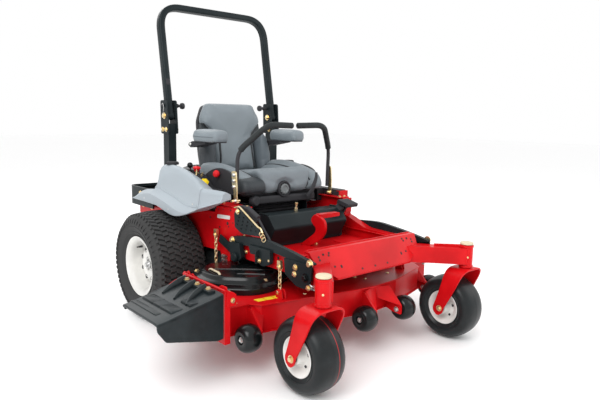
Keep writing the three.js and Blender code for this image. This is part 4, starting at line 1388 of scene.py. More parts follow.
class Softener:
    """Swells padded shapes by cloth pressure, the same way on every run."""

    frames: int = 20

    def __init__(self, voxel: float = 0.008) -> None:
        """Sets the size of the cloth's cells."""
        self.voxel = voxel

    def baked(self, obj: bpy.types.Object) -> None:
        """Puts the evaluated mesh in place of a piece's own and drops its modifiers.

        Args:
            obj: the piece's object.
        """
        graph = bpy.context.evaluated_depsgraph_get()
        fresh = bpy.data.meshes.new_from_object(obj.evaluated_get(graph))
        obj.modifiers.clear()
        fresh.name = obj.data.name
        obj.data = fresh

    def swell(self, obj: bpy.types.Object, cap: float, pinned: Callable[[Vector], bool],
            pressure: float = 4.0, shape: Callable[[Vector], Vector] | None = None) -> None:
        """Remeshes a piece, lets pressure swell it, and caps how far each point moves.

        Args:
            obj: piece to swell, in place.
            cap: farthest that a point may move, in metres.
            pinned: says of a point, in the machine's frame, whether it stays.
            pressure: cloth pressure.
            shape: last change to each point, such as a pressed hollow.
        """
        remesh = obj.modifiers.new("remesh", "REMESH")
        remesh.mode = "VOXEL"
        remesh.voxel_size = self.voxel
        self.baked(obj)
        rest = [v.co.copy() for v in obj.data.vertices]
        group = obj.vertex_groups.new(name="pinned")
        group.add([i for i, p in enumerate(rest) if pinned(p - SHIFT)], 1.0, "REPLACE")
        cloth = obj.modifiers.new("cloth", "CLOTH")
        settings = cloth.settings
        settings.quality = 5
        settings.use_pressure = True
        settings.uniform_pressure_force = pressure
        settings.effector_weights.gravity = 0
        settings.vertex_group_mass = "pinned"
        settings.tension_stiffness = settings.compression_stiffness = 18
        settings.bending_stiffness = 1.5
        scene = bpy.context.scene
        cloth.point_cache.frame_end = self.frames
        for number in range(1, self.frames + 1):
            scene.frame_set(number)
        self.baked(obj)
        obj.vertex_groups.clear()
        for vertex, start in zip(obj.data.vertices, rest):
            way = vertex.co - start
            if way.length > cap:
                vertex.co = start + way.normalized() * cap
        scene.frame_set(1)
        if shape:
            for vertex in obj.data.vertices:
                vertex.co = shape(vertex.co - SHIFT) + SHIFT
        obj.modifiers.new("even", "SMOOTH").iterations = 4
        self.baked(obj)
        for face in obj.data.polygons:
            face.use_smooth = True
        obj.modifiers.new("rounding", "SUBSURF").levels = 1
        obj.modifiers["rounding"].render_levels = 1

    def piping(self, pieces: Sequence[bpy.types.Object], line: Sequence[Point], towards: Point, name: str,
            body: str, radius: float = 0.0032, finish: Finish | None = None) -> None:
        """Lays a thin tube on the surface of soft pieces.

        Args:
            pieces: the soft pieces.
            line: points of the seam outside the surface, in the machine's frame.
            towards: direction in which the points are dropped on the surface.
            name: name of the tube.
            body: CAD body it rides on.
            radius: the tube's radius.
            finish: its finish, piping if left out.
        """
        trees = [BVHTree.FromObject(piece, bpy.context.evaluated_depsgraph_get()) for piece in pieces]
        aim = Vector(towards).normalized()
        laid = []
        for spot in flowing(line, 6):
            start = Vector(spot) + SHIFT
            hits = [hit for hit in (tree.ray_cast(start, aim)[0] for tree in trees) if hit is not None]
            hits = hits or [tree.find_nearest(start)[0] for tree in trees]
            nearest = min(hits, key=lambda hit: (hit - start).length)
            laid.append(nearest - SHIFT - aim * radius * 0.25)
        for _ in range(3):
            laid = [laid[0]] + [(a + b * 2 + c) / 4 for a, b, c in zip(laid, laid[1:],
                laid[2:])] + [laid[-1]]
        Mesher().sweep(laid, circle(radius, 8)).piece(name, body, finish or Finish.PIPING)


@dataclass
class Seat:
    """High-backed seat: pressure-swelled cushions, piping, side covers, dial, armrests and pan."""

    lean: float = math.radians(9)
    softener: Softener = field(default_factory=Softener)

    def build(self) -> None:
        """Builds the whole seat."""
        self.seams(self.cushion(), self.bolsters())
        self.front_roll()
        self.back()
        self.covers()
        self.dial()
        self.pan()
        for name, side in SIDES:
            self.armrest(name, side)

    def cushion(self) -> bpy.types.Object:
        """Middle of the cushion with its rolled front and the dial's hollow.

        Returns:
            The middle pad's object.
        """
        rings = []
        profile = rounded([(-0.47, 0.728, 0.02), (-0.492, 0.79, 0.03), (-0.478, 0.852, 0.016),
            (-0.44, 0.858, 0.03), (-0.3, 0.836, 0.08), (-0.12, 0.816, 0.06), (0.0, 0.808, 0.01),
            (0.0, 0.728, 0.02)], 6)
        for share in (-1.0, -0.96, -0.5, 0, 0.5, 0.96, 1.0):
            grow = 0.9 if abs(share) == 1.0 else 1.0
            rings.append([(share * (0.148 + 0.046 * min(1.0, max(0.0, (z - 0.72) / 0.13))),
                -0.24 + (y + 0.24) * grow, 0.8 + (z - 0.8) * grow) for y, z in profile])
        pad = Mesher().loft(rings).piece("cushion_middle", "frame", Finish.SEAT, ["seat_cushion"])
        hollow = Vector((-0.013, -0.49, 0.746))

        def pressed(spot: Vector) -> Vector:
            """Presses the dial's hollow into the pad.

            Args:
                spot: a point of the pad.
            Returns:
                The point's new place.
            """
            away = math.hypot((spot.x - hollow.x) / 1.15, spot.z - hollow.z)
            if spot.y < -0.44 and away < 0.066:
                spot = spot + Vector((0, 0.022 * (1 - (away / 0.066) ** 2) ** 0.6, 0))
            return spot

        self.softener.swell(pad, 0.012, lambda p: p.z < 0.744 or p.y > -0.015, shape=pressed)
        return pad

    def seams(self, middle: bpy.types.Object, sides: Sequence[bpy.types.Object]) -> None:
        """Dark piping in the valleys between the cushion's middle and its bolsters.

        Args:
            middle: the middle pad's object.
            sides: the side pads' objects.
        """
        for side, bolster in zip((-1, 1), sides):
            x, name = side * 0.188, bolster.name.rsplit("_", 1)[1]
            self.softener.piping([middle, bolster], [(x, -0.462, 0.99), (x, -0.4, 0.99), (x, -0.3, 0.99),
                (x, -0.03, 0.99)], (0, 0, -1), f"top_piping_{name}", "frame", 0.0042)
            self.softener.piping([middle, bolster], [(x, -0.6, 0.838), (x * 0.98, -0.6, 0.82),
                (x * 0.9, -0.6, 0.78), (x * 0.8, -0.6, 0.745)], (0, 1, 0), f"front_piping_{name}",
                "frame", 0.0042)

    def bolsters(self) -> list[bpy.types.Object]:
        """Side bolsters of the cushion, rounded off at the front and outside.

        Returns:
            The pads' objects, right then left.
        """
        pads = []
        for name, side in SIDES:
            rings = []
            for share, drop, back in ((0.0, 0.052, 0.006), (0.22, 0.036, 0.0), (0.45, 0.012, 0.0),
                    (0.65, 0.002, 0.0), (0.9, 0.006, 0.006), (0.97, 0.016, 0.014), (1.0, 0.034, 0.03)):
                x = 0.15 + share * 0.14
                fall = drop * 0.4
                profile = rounded([(-0.472 + back, 0.73, 0.02), (-0.479 + back, 0.76, 0.03),
                    (-0.464 + back, 0.8 - fall, 0.03), (-0.425, 0.828 - fall, 0.06),
                    (-0.33, 0.862 - drop, 0.1), (-0.16, 0.888 - drop, 0.1), (-0.012, 0.878 - drop, 0.03),
                    (-0.006, 0.73, 0.02)], 6)
                rings.append([(side * x, y, z) for y, z in profile])
            pad = Mesher().loft(rings).piece(f"cushion_bolster_{name}", "frame", Finish.SEAT)
            self.softener.swell(pad, 0.011, lambda p: p.z < 0.752 or p.y > -0.02 or abs(p.x) > 0.276)
            pads.append(pad)
        return pads

    def front_roll(self) -> None:
        """Dark roll round the front of the right bolster only: partly dark vinyl, partly painted shade, as
        the left bolster gets none.
        """
        rings = []
        for x, back, low in ((-0.156, 0.004, 0.004), (-0.165, 0.0, 0.0), (-0.265, 0.0, 0.0),
                (-0.288, 0.006, 0.003), (-0.299, 0.02, 0.008), (-0.303, 0.04, 0.016)):
            rings.append([(x, y, z) for y,
                z in rounded([(-0.395, 0.736, 0.006), (-0.49 + back, 0.736, 0.012),
                (-0.497 + back, 0.778 - low, 0.02), (-0.472 + back, 0.812 - low, 0.02),
                (-0.395, 0.824 - low, 0.01)], 5)])
        # Dark vinyl put on the right side alone, so it is partly painted shade.
        roll = Mesher().loft(rings).piece("cushion_front_roll", "frame", Finish.SEAT_DARK)
        self.softener.swell(roll, 0.006, lambda p: p.y > -0.41)

    def leaned(self, x: float, y: float, z: float) -> Vector:
        """Point of the seat back, given from the foot of its front face."""
        return Vector((x, 0.012 + y * math.cos(self.lean) + z * math.sin(self.lean),
            0.846 - y * math.sin(self.lean) + z * math.cos(self.lean)))

    def cushion_rings(self, outline: Sequence[tuple[float, float]], front: float, rear: float,
            soft: float, middle: Point) -> list[list[Vector]]:
        """Rings of a pad with a rounded front, from its outline in (x, z).

        Args:
            outline: the outline in (x, z).
            front: foremost place.
            rear: rearmost place.
            soft: radius of its edges.
            middle: the point in (x, z) that the ends shrink to.
        Returns:
            The rings from front to rear.
        """
        rings = []
        for y, shrink in ((front, 0.9), (front + soft * 0.3, 0.965), (front + soft, 1.0),
                (rear - 0.01, 1.0), (rear, 0.97)):
            rings.append([self.leaned(middle[0] + (x - middle[0]) * shrink, y,
                middle[1] + (z - middle[1]) * shrink) for x, z in outline])
        return rings

    def back(self) -> None:
        """Shield-shaped middle panel, lower bolsters, dark wedges, piping and rear shell."""
        shield = rounded([(-0.158, -0.045, 0.02), (-0.154, 0.11, 0.03), (-0.138, 0.198, 0.014),
            (-0.216, 0.272, 0.01), (-0.214, 0.308, 0.02), (-0.172, 0.392, 0.018), (0.172, 0.392, 0.018),
            (0.214, 0.308, 0.02), (0.216, 0.272, 0.01), (0.138, 0.198, 0.014), (0.154, 0.11, 0.03),
            (0.158, -0.045, 0.02)], 5)
        pad = Mesher().loft(self.cushion_rings(shield, 0.004, 0.07, 0.03, (0, 0.19)))
        panel = pad.piece("back_panel", "frame", Finish.SEAT, ["seat_back"])
        self.softener.swell(panel, 0.012,
            lambda p: (p.y - 0.012) * math.cos(self.lean) - (p.z - 0.846) * math.sin(self.lean) > 0.056)
        for name, side in SIDES:
            low = rounded([(0.171, -0.075, 0.02), (0.169, 0.17, 0.02), (0.188, 0.214, 0.016),
                (0.222, 0.172, 0.03), (0.24, 0.09, 0.03), (0.24, 0.0, 0.03), (0.23, -0.075, 0.02)], 5)
            outline = [(side * x, z) for x, z in low]
            rings = self.cushion_rings(outline, -0.044, 0.07, 0.04, (side * 0.2, 0.1))
            # The right back bolster takes the darker copy of the side vinyl: painted shade, as the light
            # falls from the left.
            tone = Finish.SEAT_SIDE if side > 0 else Finish.SEAT_SHADE
            pad = Mesher().loft(rings).piece(f"back_bolster_{name}", "frame", tone)
            self.softener.swell(pad, 0.01, lambda p: p.y > 0.1)
            wedge = [(side * x, z) for x, z in evenly_rounded([(0.15, 0.2), (0.216, 0.272),
                (0.219, 0.235), (0.214, 0.18)], 0.01, 3)]
            Mesher().loft([[self.leaned(x, y, z) for x, z in wedge] for y in (0.034, 0.08)]).piece(
                f"back_wedge_{name}", "frame", Finish.SEAT_DARK, bevel=0.003)
            edge = [(0.16, -0.06), (0.158, 0.08), (0.153, 0.17), (0.152, 0.206), (0.205, 0.264)]
            line = [self.leaned(side * x, -0.02 if z < 0.2 else 0.012, z) for x, z in edge]
            self.softener.piping([panel], [p + Vector((0, -0.1, 0)) for p in line], (0, 1, 0),
                f"back_piping_{name}", "frame", 0.006)
        shell = rounded([(-0.21, -0.105, 0.02), (-0.226, 0.1, 0.05), (-0.218, 0.29, 0.02),
            (-0.176, 0.388, 0.03), (0.176, 0.388, 0.03), (0.218, 0.29, 0.02), (0.226, 0.1, 0.05),
            (0.21, -0.105, 0.02)], 5)
        rings = []
        for y, shrink in ((0.066, 1.0), (0.092, 1.0), (0.108, 0.95), (0.116, 0.82)):
            rings.append([self.leaned(x * shrink, y, 0.18 + (z - 0.18) * shrink) for x, z in shell])
        Mesher().loft(rings).piece("back_shell", "frame", Finish.BLACK, crease_angle=30)

    def covers(self) -> None:
        """Half-round covers beside the cushion, with the release knob on the right one."""
        for name, side in SIDES:
            outline = rounded([(-0.408, 0.722, 0.02), (-0.41, 0.8, 0.04), (-0.365, 0.846, 0.05),
                (-0.255, 0.866, 0.06), (-0.16, 0.846, 0.04), (-0.075, 0.8, 0.05),
                (-0.055, 0.722, 0.02)], 6)
            x = side * 0.29
            Mesher().plate("x", outline, min(x, x + side * 0.015), max(x, x + side * 0.015)).piece(
                f"hip_cover_{name}", "frame", Finish.BLACK, bevel=0.004)
        knob = Mesher().lathe([(0, 0), (0.007, 0), (0.007, 0.008), (0.018, 0.012), (0.021, 0.022),
            (0.017, 0.031), (0.008, 0.034), (0, 0.034)], (-0.302, -0.243, 0.828), (-1, -0.25, 0.1), 28)
        knob.piece("release_knob", "frame", Finish.KNOB_RED, crease_angle=40)

    def dial(self) -> None:
        """Round weight dial sunk in the cushion's front."""
        spot, axis = (-0.013, -0.46, 0.748), (0, -1, 0.05)
        ring = Mesher().lathe([(0.026, 0.0), (0.046, 0.0), (0.047, 0.01), (0.044, 0.016), (0.038, 0.017),
            (0.034, 0.012), (0.03, 0.01), (0.026, 0.012)], spot, axis, 48, loop=True)
        ring.piece("dial_ring", "frame", Finish.BLACK, crease_angle=35)
        face = Mesher().lathe([(0, 0.006), (0.028, 0.006), (0.028, 0.018), (0.025, 0.021),
            (0.019, 0.0215), (0.016, 0.018), (0.0, 0.0175)], spot, axis, 40)
        for k in range(12):
            a = 2 * math.pi * k / 12
            turn = Vector(axis).to_track_quat("Z", "Y")
            base = Vector(spot) + turn @ Vector((0.028 * math.cos(a), 0.028 * math.sin(a), 0.008))
            face.lathe([(0, 0), (0.003, 0), (0.003, 0.01), (0, 0.012)], base, axis, 8)
        face.piece("dial_face", "frame", Finish.DIAL, crease_angle=35)
        handle = [(0.212, -0.492, 0.832), (0.206, -0.497, 0.8), (0.186, -0.5, 0.76),
            (0.17, -0.498, 0.725), (0.156, -0.488, 0.695)]
        Mesher().sweep(flowing(handle, 8), circle(0.0155, 14, 0.55), up=(0, 1, 0),
            scale=lambda s: 0.55 + 0.65 * s).piece("slide_handle", "frame", Finish.BLACK)

    def pan(self) -> None:
        """Thick rounded pan bar, its round right end, suspension bellows and slides."""
        bar = Mesher().sweep([(-0.222, -0.452, 0.694), (-0.2, -0.456, 0.694), (0.2, -0.456, 0.69),
            (0.222, -0.452, 0.69)], bar_section(0.03, 0.044, 0.012), up=(0, 0, 1))
        bar.lathe([(0, -0.02), (0.026, -0.02), (0.029, -0.01), (0.029, 0.012), (0.024, 0.02), (0, 0.021)],
            (-0.214, -0.462, 0.694), (0.15, -1, 0), 32)
        bar.plate("z", rounded([(-0.222, -0.452, 0.04), (0.222, -0.452, 0.04), (0.222, 0.02, 0.03),
            (-0.222, 0.02, 0.03)]), 0.706, 0.7145)
        bar.plate("z", rounded([(-0.24, -0.43, 0.05), (0.24, -0.43, 0.05), (0.25, 0.01, 0.03),
            (-0.25, 0.01, 0.03)]), 0.7145, 0.744)
        bar.piece("seat_pan_bar", "frame", Finish.BLACK, ["seat_base"], bevel=0.003)
        bellows = Mesher()
        rings = []
        for k in range(17):
            out = 0.0 if k % 2 else 0.012
            z = 0.566 + k * 0.0088
            rings.append([(x, y, z) for x, y in oblong(-0.158 - out, -0.405 - out, 0.158 + out,
                -0.05 + out, 0.04, 4)])
        bellows.loft(rings).piece("suspension_bellows", "frame", Finish.BLACK, crease_angle=25)
        slides = Mesher()
        for side in (-1, 1):
            slides.block((side * 0.196 - 0.016, -0.44, 0.654), (side * 0.196 + 0.016, 0.01, 0.672))
            slides.block((side * 0.196 - 0.004, -0.43, 0.56), (side * 0.196 + 0.004, -0.3, 0.656))
            slides.block((side * 0.196 - 0.004, -0.12, 0.56), (side * 0.196 + 0.004, 0.0, 0.656))
        slides.piece("seat_slides", "frame", Finish.CHARCOAL, bevel=0.002)

    def armrest(self, name: str, side: int) -> None:
        """Padded rest with a rounded front on a tapered bracket.

        Args:
            name: right or left, as in the names of bodies and nodes.
            side: -1 for the right side, 1 for the left.
        """
        x, y, z = 0.284, 0.042, 0.985
        rings = []
        for along, wide, tall in ((-0.294, 0.55, 0.5), (-0.29, 0.8, 0.74), (-0.28, 0.94, 0.92),
                (-0.262, 1.0, 1.0), (-0.16, 1.0, 1.0), (-0.07, 1.0, 1.0), (-0.052, 0.95, 0.94),
                (-0.046, 0.8, 0.76)):
            outline = rounded([(-0.048, 0.014, 0.014), (0.048, 0.014, 0.014), (0.052, 0.06, 0.022),
                (0.038, 0.0865, 0.02), (-0.038, 0.0865, 0.02), (-0.052, 0.06, 0.022)], 5)
            rings.append([(-x + u * wide, y + along, z + 0.05 + (v - 0.05) * tall) for u, v in outline])
        pad = Mesher().loft(rings).flipped(side)
        rest = pad.piece(f"armrest_pad_{name}", f"armrest_{name}", Finish.SEAT, [f"armrest_{name}"])
        self.softener.swell(rest, 0.005, lambda p: p.z < z + 0.03)
        tray = Mesher()
        tray.plate("z", rounded([(-x - 0.043, y - 0.284, 0.02), (-x + 0.043, y - 0.284, 0.02),
            (-x + 0.043, y - 0.052, 0.014), (-x - 0.043, y - 0.052, 0.014)]), z + 0.0145, z + 0.028)
        outline = rounded([(y - 0.168, z + 0.016), (y - 0.17, z + 0.006, 0.006),
            (y + 0.004, z - 0.024, 0.014), (y + 0.021, z - 0.002, 0.012),
            (y - 0.018, z + 0.016, 0.008)], 4)
        tray.plate("x", outline, -x - 0.034, -x + 0.046)
        tray.lathe([(0, 0.03), (0.015, 0.03), (0.015, 0.0585), (0, 0.0585)], (-x, y, z), (1, 0, 0), 24)
        tray.flipped(side).piece(f"armrest_bracket_{name}", f"armrest_{name}", Finish.BLACK, bevel=0.002)
        bolt = Mesher().bolt((-x - 0.034, y, z - 0.004), (-1, 0, 0), 0.009).flipped(side)
        bolt.piece(f"armrest_bolt_{name}", f"armrest_{name}", Finish.BRIGHT, crease_angle=30)
        line = [(-x - 0.1, y - 0.27, z + 0.046), (-x - 0.1, y - 0.16, z + 0.046),
            (-x - 0.1, y - 0.06, z + 0.046)]
        self.softener.piping([rest], [(-side * px, py, pz) if side > 0 else (px, py, pz) for px, py,
            pz in line], (-side, 0, 0), f"armrest_piping_{name}", f"armrest_{name}", 0.002,
            Finish.SEAT_SIDE)


@dataclass
class Consoles:
    """Right-hand console with its knobs, and the corner plate of the left-hand box."""

    def build(self) -> None:
        """Builds console shell, knobs, levers and the corner plate."""
        side = rounded([(-0.362, 0.652, 0.008), (-0.37, 0.716, 0.02), (-0.33, 0.742, 0.02),
            (-0.21, 0.748, 0.02), (-0.135, 0.806, 0.02), (-0.08, 0.826, 0.02), (-0.064, 0.652, 0.008)], 5)
        shell = Mesher().plate("x", side, -0.41, -0.31)
        for k in range(3):
            y = -0.32 + k * 0.034
            shell.plate("z", oblong(-0.398, y, -0.322, y + 0.018, 0.006, 3), 0.738, 0.7495)
        shell.piece("console_shell", "frame", Finish.BLACK, ["console_right"], bevel=0.006)
        for name, spot, lean, finish, big in (("red", (-0.36, -0.094, 0.806), (0, -0.15, 1),
                Finish.KNOB_RED, 0.8), ("choke", (-0.36, -0.17, 0.752), (-0.2, -0.6, 0.5),
                Finish.KNOB_YELLOW, 0.8)):
            stem = Mesher().lathe(bar_profile(0.006, 0.03), spot, lean, 14)
            stem.piece(f"knob_stem_{name}", "frame", Finish.ZINC)
            tip = Vector(spot) + Vector(lean).normalized() * 0.026
            knob = Mesher().lathe([(0, 0), (0.01, 0), (0.014, 0.006), (0.022 * big, 0.016),
                (0.024 * big, 0.024), (0.018 * big, 0.031), (0, 0.033)], tip, lean, 28)
            knob.lathe([(0, 0.018), (0.031 * big, 0.018), (0.031 * big, 0.027), (0, 0.027)], tip, lean, 6)
            knob.piece(f"knob_{name}", "frame", finish, bevel=0.002, crease_angle=45)
        ball = Mesher().sweep([(-0.375, -0.07, 0.79), (-0.378, -0.066, 0.83), (-0.38, -0.06, 0.858)],
            circle(0.005, 12))
        ball.lathe([(0.0165 * math.sin(k * math.pi / 12),
            -0.0165 * math.cos(k * math.pi / 12)) for k in range(13)], (-0.38, -0.06, 0.867),
            (0, 0, 1), 28)
        ball.piece("ball_lever", "frame", Finish.GLOSS)
        fittings = Mesher()
        for x, y, z in ((-0.345, -0.125, 0.804), (-0.35, -0.085, 0.8), (-0.398, -0.11, 0.795)):
            fittings.lathe([(0, 0), (0.008, 0), (0.008, 0.012), (0.005, 0.012), (0.005, 0.026),
                (0, 0.028)], (x, y, z), (0.2, -0.4, 1), 16)
        fittings.sweep(flowing([(-0.35, -0.085, 0.822), (-0.366, -0.11, 0.848), (-0.392, -0.15, 0.82),
            (-0.4, -0.12, 0.802)], 6), circle(0.004, 8))
        fittings.piece("console_fittings", "frame", Finish.ZINC)
        corner = Mesher().plate("y", [(0.352, 0.64), (0.424, 0.64), (0.424, 0.716), (0.352, 0.716)],
            -0.548, -0.5425)
        corner.plate("z", [(0.352, -0.548), (0.424, -0.548), (0.424, -0.47), (0.38, -0.52),
            (0.352, -0.52)], 0.714, 0.7175)
        corner.plate("x", [(-0.548, 0.64), (-0.47, 0.69), (-0.47, 0.717), (-0.548, 0.717)], 0.4155, 0.421)
        corner.piece("box_corner_plate", "frame", Finish.RED, bevel=0.0015)
        lid = Mesher().plate("z", rounded([(0.3, -0.07, 0.01), (0.416, -0.07, 0.01),
            (0.416, -0.536, 0.006), (0.356, -0.536, 0.006), (0.356, -0.396, 0.006), (0.3, -0.396, 0.01)],
            3), 0.7155, 0.7215)
        lid.piece("box_lid", "frame", Finish.BLACK, bevel=0.002)


@dataclass
class Deck:
    """Fittings of the cutting deck: rollers, belt covers, hinge, bolts, labels and blade bolts."""

    rollers: tuple = (("right", -0.646, -1.01), ("centre_right", -0.06, -1.158),
        ("centre_left", 0.219, -1.166), ("left", 0.646, -1.01))

    def build(self) -> None:
        """Builds every fitting that rides on the deck."""
        for name, x, y in self.rollers:
            self.roller(name, x, y)
        for name, side in SIDES:
            self.belt_cover(name, side)
        self.hinge()
        self.trim()
        self.blades()

    def roller(self, name: str, x: float, y: float) -> None:
        """Glossy barrel roller with recessed ends and its bright axle bolt; the folded plate beside it comes
        with the deck's trim.

        Args:
            name: right or left, as in the names of bodies and nodes.
            x: place across the machine.
            y: place along the machine.
        """
        half, radius = 0.044, 0.063
        profile = [(0.0105, -half + 0.014), (0.018, -half + 0.012), (0.021, -half + 0.002),
            (0.027, -half)]
        profile += [(0.04 + (radius - 0.04) * math.cos(t * math.pi / 2 / 8),
            half * math.sin(t * math.pi / 2 / 8)) for t in range(-8, 9)]
        profile += [(0.027, half), (0.021, half - 0.002), (0.018, half - 0.012), (0.0105, half - 0.014)]
        barrel = Mesher().lathe(profile, (x, y, 0.191), (1, 0, 0), 56, loop=True)
        barrel.piece(f"roller_barrel_{name}", f"roller_{name}", Finish.GLOSS, [f"roller_{name}"],
            crease_angle=50)
        inward = 1 if x < 0 else -1
        bolts = Mesher().bolt((x - inward * (half - 0.006), y, 0.191), (-inward, 0, 0), 0.0085)
        bolts.lathe(bar_profile(0.0095, 0.012), (x - inward * (half - 0.018), y, 0.191),
            (-inward, 0, 0), 16)
        bolts.bolt((x + inward * (half + 0.01), y, 0.191), (inward, 0, 0), 0.01)
        bolts.piece(f"roller_bolts_{name}", "deck", Finish.BRIGHT, crease_angle=30)

    def belt_cover(self, name: str, side: int) -> None:
        """Glossy moulded cover: skirt, sloped shoulder, raised crown with a ridge, latch and screws.

        Args:
            name: right or left, as in the names of bodies and nodes.
            side: -1 for the right side, 1 for the left.
        """
        plan = rounded([(-0.662, -0.56, 0.06), (-0.592, -0.453, 0.07), (-0.43, -0.46, 0.05),
            (-0.188, -0.6, 0.03), (-0.188, -0.732, 0.03), (-0.396, -0.874, 0.05), (-0.52, -0.868, 0.06),
            (-0.662, -0.72, 0.07)], 6)
        levels = ((0.3195, 1.0), (0.345, 1.0), (0.349, 0.985), (0.368, 0.975), (0.373, 0.955),
            (0.377, 0.9), (0.385, 0.86), (0.393, 0.845), (0.397, 0.82), (0.3985, 0.72), (0.4, 0.3))
        cover = Mesher().loft([[(-0.43 + (x + 0.43) * grow, -0.66 + (y + 0.66) * grow, z) for x,
            y in plan] for z, grow in levels])
        cover.flipped(side).piece(f"belt_cover_shell_{name}", "deck", Finish.GLOSS,
            [f"belt_cover_{name}"], crease_angle=32)
        ribs = Mesher()
        for a, b in (((-0.56, -0.6), (-0.33, -0.8)), ((-0.3, -0.56), (-0.235, -0.7)),
                ((-0.52, -0.74), (-0.42, -0.83))):
            ribs.sweep([(a[0], a[1], 0.3985), ((a[0] + b[0]) / 2, (a[1] + b[1]) / 2, 0.4005),
                (b[0], b[1], 0.3985)], [(-0.007, -0.003), (0.007, -0.003), (0.004, 0.0035),
                (-0.004, 0.0035)])
        ribs.flipped(side).piece(f"belt_cover_ribs_{name}", "deck", Finish.GLOSS)
        latch = Mesher().sweep(filleted([(-0.583, -0.588, 0.394), (-0.584, -0.602, 0.4055),
            (-0.592, -0.69, 0.4055), (-0.593, -0.704, 0.394)], 0.006, 4),
            bar_section(0.011, 0.006, 0.002))
        latch.flipped(side).piece(f"belt_cover_latch_{name}", "deck", Finish.CAP)
        knobs = Mesher()
        for x, y in ((-0.225, -0.64), (-0.43, -0.846), (-0.6, -0.5)):
            knobs.bolt((x, y, 0.374), (0, 0, 1), 0.009)
        knobs.flipped(side).piece(f"belt_cover_bolts_{name}", "deck", Finish.ZINC, crease_angle=30)

    def hinge(self) -> None:
        """Hinge pin, jagged end plates and clips of the deflector."""
        rod = Mesher().lathe(bar_profile(0.0055, 0.348), (-0.761, -1.003, 0.4225), (0, 1, 0), 16)
        rod.piece("hinge_rod", "deck", Finish.RED)
        bar = Mesher()
        bar.plate("x", rounded([(-1.0, 0.395, 0.004), (-1.0, 0.438, 0.01), (-0.955, 0.438, 0.01),
            (-0.94, 0.424, 0.006), (-0.74, 0.424, 0.006), (-0.716, 0.436, 0.006), (-0.7, 0.424, 0.006),
            (-0.684, 0.442, 0.006), (-0.664, 0.428, 0.006), (-0.64, 0.43, 0.008), (-0.632, 0.4, 0.008),
            (-0.64, 0.38, 0.01)], 3), -0.754, -0.748)
        bar.plate("z", rounded([(-0.754, -0.99, 0.006), (-0.7, -0.99, 0.01), (-0.7, -0.952, 0.01),
            (-0.754, -0.93, 0.006)], 3), 0.395, 0.4)
        bar.plate("y", rounded([(-0.752, 0.35, 0.006), (-0.704, 0.35, 0.01), (-0.704, 0.4, 0.006),
            (-0.752, 0.426, 0.006)], 3), -1.003, -0.9985)
        for y in (-0.7, -0.672, -0.648):
            bar.plate("y", rounded([(-0.754, 0.322, 0.004), (-0.69, 0.322, 0.012), (-0.706, 0.404, 0.016),
                (-0.754, 0.43, 0.01)], 4), y, y + 0.005)
        bar.piece("hinge_plates", "deck", Finish.RED, bevel=0.0012)
        bolts = Mesher().bolt((-0.722, -0.97, 0.4), (0, 0, 1), 0.009).bolt((-0.7235, -1.003, 0.376),
            (0, -1, 0), 0.008)
        bolts.piece("hinge_bolts", "deck", Finish.ZINC, crease_angle=30)

    def trim(self) -> None:
        """Edge folds, roller gussets, blank labels, carriage bolts, lift clevises, centre pulley and belt.
        """
        folds = Mesher()
        front = [(-0.704, -0.934, 0), (-0.59, -0.938, 0), (-0.558, -0.988, 0), (-0.36, -1.024, 0),
            (-0.06, -1.088, 0), (0.07, -1.104, 0), (0.25, -1.09, 0), (0.556, -1.0, 0), (0.59, -0.938, 0),
            (0.706, -0.934, 0), (0.77, -0.884, 0)]
        for z in (0.315, 0.189):
            folds.sweep([(x, y, z) for x, y, _ in front], bar_section(0.009, 0.006, 0.002), up=(0, 0, 1))
        for x, y in ((-0.646, -1.01), (-0.06, -1.158), (0.219, -1.166), (0.646, -1.01)):
            inward = 1 if x < 0 else -1
            near = x + inward * 0.052
            rings = []
            for out, top in ((0.0, 0.0), (0.006, 0.004)):
                rings.append([(near + inward * out, y - 0.024, 0.216 + top),
                    (near + inward * (0.07 + out), y + 0.062, 0.25), (near + inward * (0.085 + out),
                    y + 0.07, 0.312), (near + inward * out, y + 0.052, 0.304),
                    (near + inward * out, y - 0.028, 0.218)])
            folds.loft(rings)
        folds.piece("deck_folds", "deck", Finish.RED, bevel=0.001)
        label = Mesher()
        for k in range(3):
            x = -0.545 + k * 0.047
            label.plate("z", evenly_rounded([(x, -0.944 - k * 0.006), (x + 0.042, -0.95 - k * 0.006),
                (x + 0.042, -0.914 - k * 0.006), (x, -0.908 - k * 0.006)], 0.003, 3), 0.318, 0.319)
        label.piece("blank_label", "deck", Finish.LABEL)
        bolts = Mesher()
        for x in (-0.64, -0.3, -0.12, 0.12, 0.3, 0.64):
            bolts.lathe([(0, 0), (0.009, 0), (0.0075, 0.0035), (0, 0.0055)],
                (x, -0.9 if abs(x) > 0.5 else -0.985, 0.318), (0, 0, 1), 16)
        for x, y in ((-0.16, -0.52), (0.16, -0.52), (0, -0.47), (-0.1, -0.93), (0.1, -0.93)):
            bolts.bolt((x, y, 0.318), (0, 0, 1), 0.009)
        bolts.piece("deck_bolts", "deck", Finish.ZINC, crease_angle=30)
        lugs = Mesher()
        for x, y in ((-0.43, -0.965), (0.43, -0.965), (-0.42, -0.405), (0.42, -0.405)):
            for step in (-0.012, 0.007):
                lugs.plate("x", rounded([(y - 0.026, 0.318, 0.003), (y + 0.026, 0.318, 0.003),
                    (y + 0.016, 0.362, 0.014), (y - 0.016, 0.362, 0.014)], 4), x + step, x + step + 0.005)
        lugs.piece("lift_lugs", "deck", Finish.RED, bevel=0.001)
        spindle = Mesher().lathe([(0, 0.318), (0.095, 0.318), (0.095, 0.326), (0.06, 0.332),
            (0.05, 0.372), (0, 0.372)], (0, -0.82, 0), (0, 0, 1), 40)
        spindle.lathe([(0, 0.345), (0.088, 0.345), (0.078, 0.352), (0.078, 0.36), (0.088, 0.367),
            (0, 0.367)], (0, -0.82, 0), (0, 0, 1), 48)
        spindle.piece("centre_pulley", "deck", Finish.CHARCOAL, crease_angle=30)
        belt = Mesher()
        for way in (-1, 1):
            belt.sweep([(way * 0.08, -0.83, 0.356), (way * 0.2, -0.77, 0.356)],
                bar_section(0.01, 0.014, 0.002))
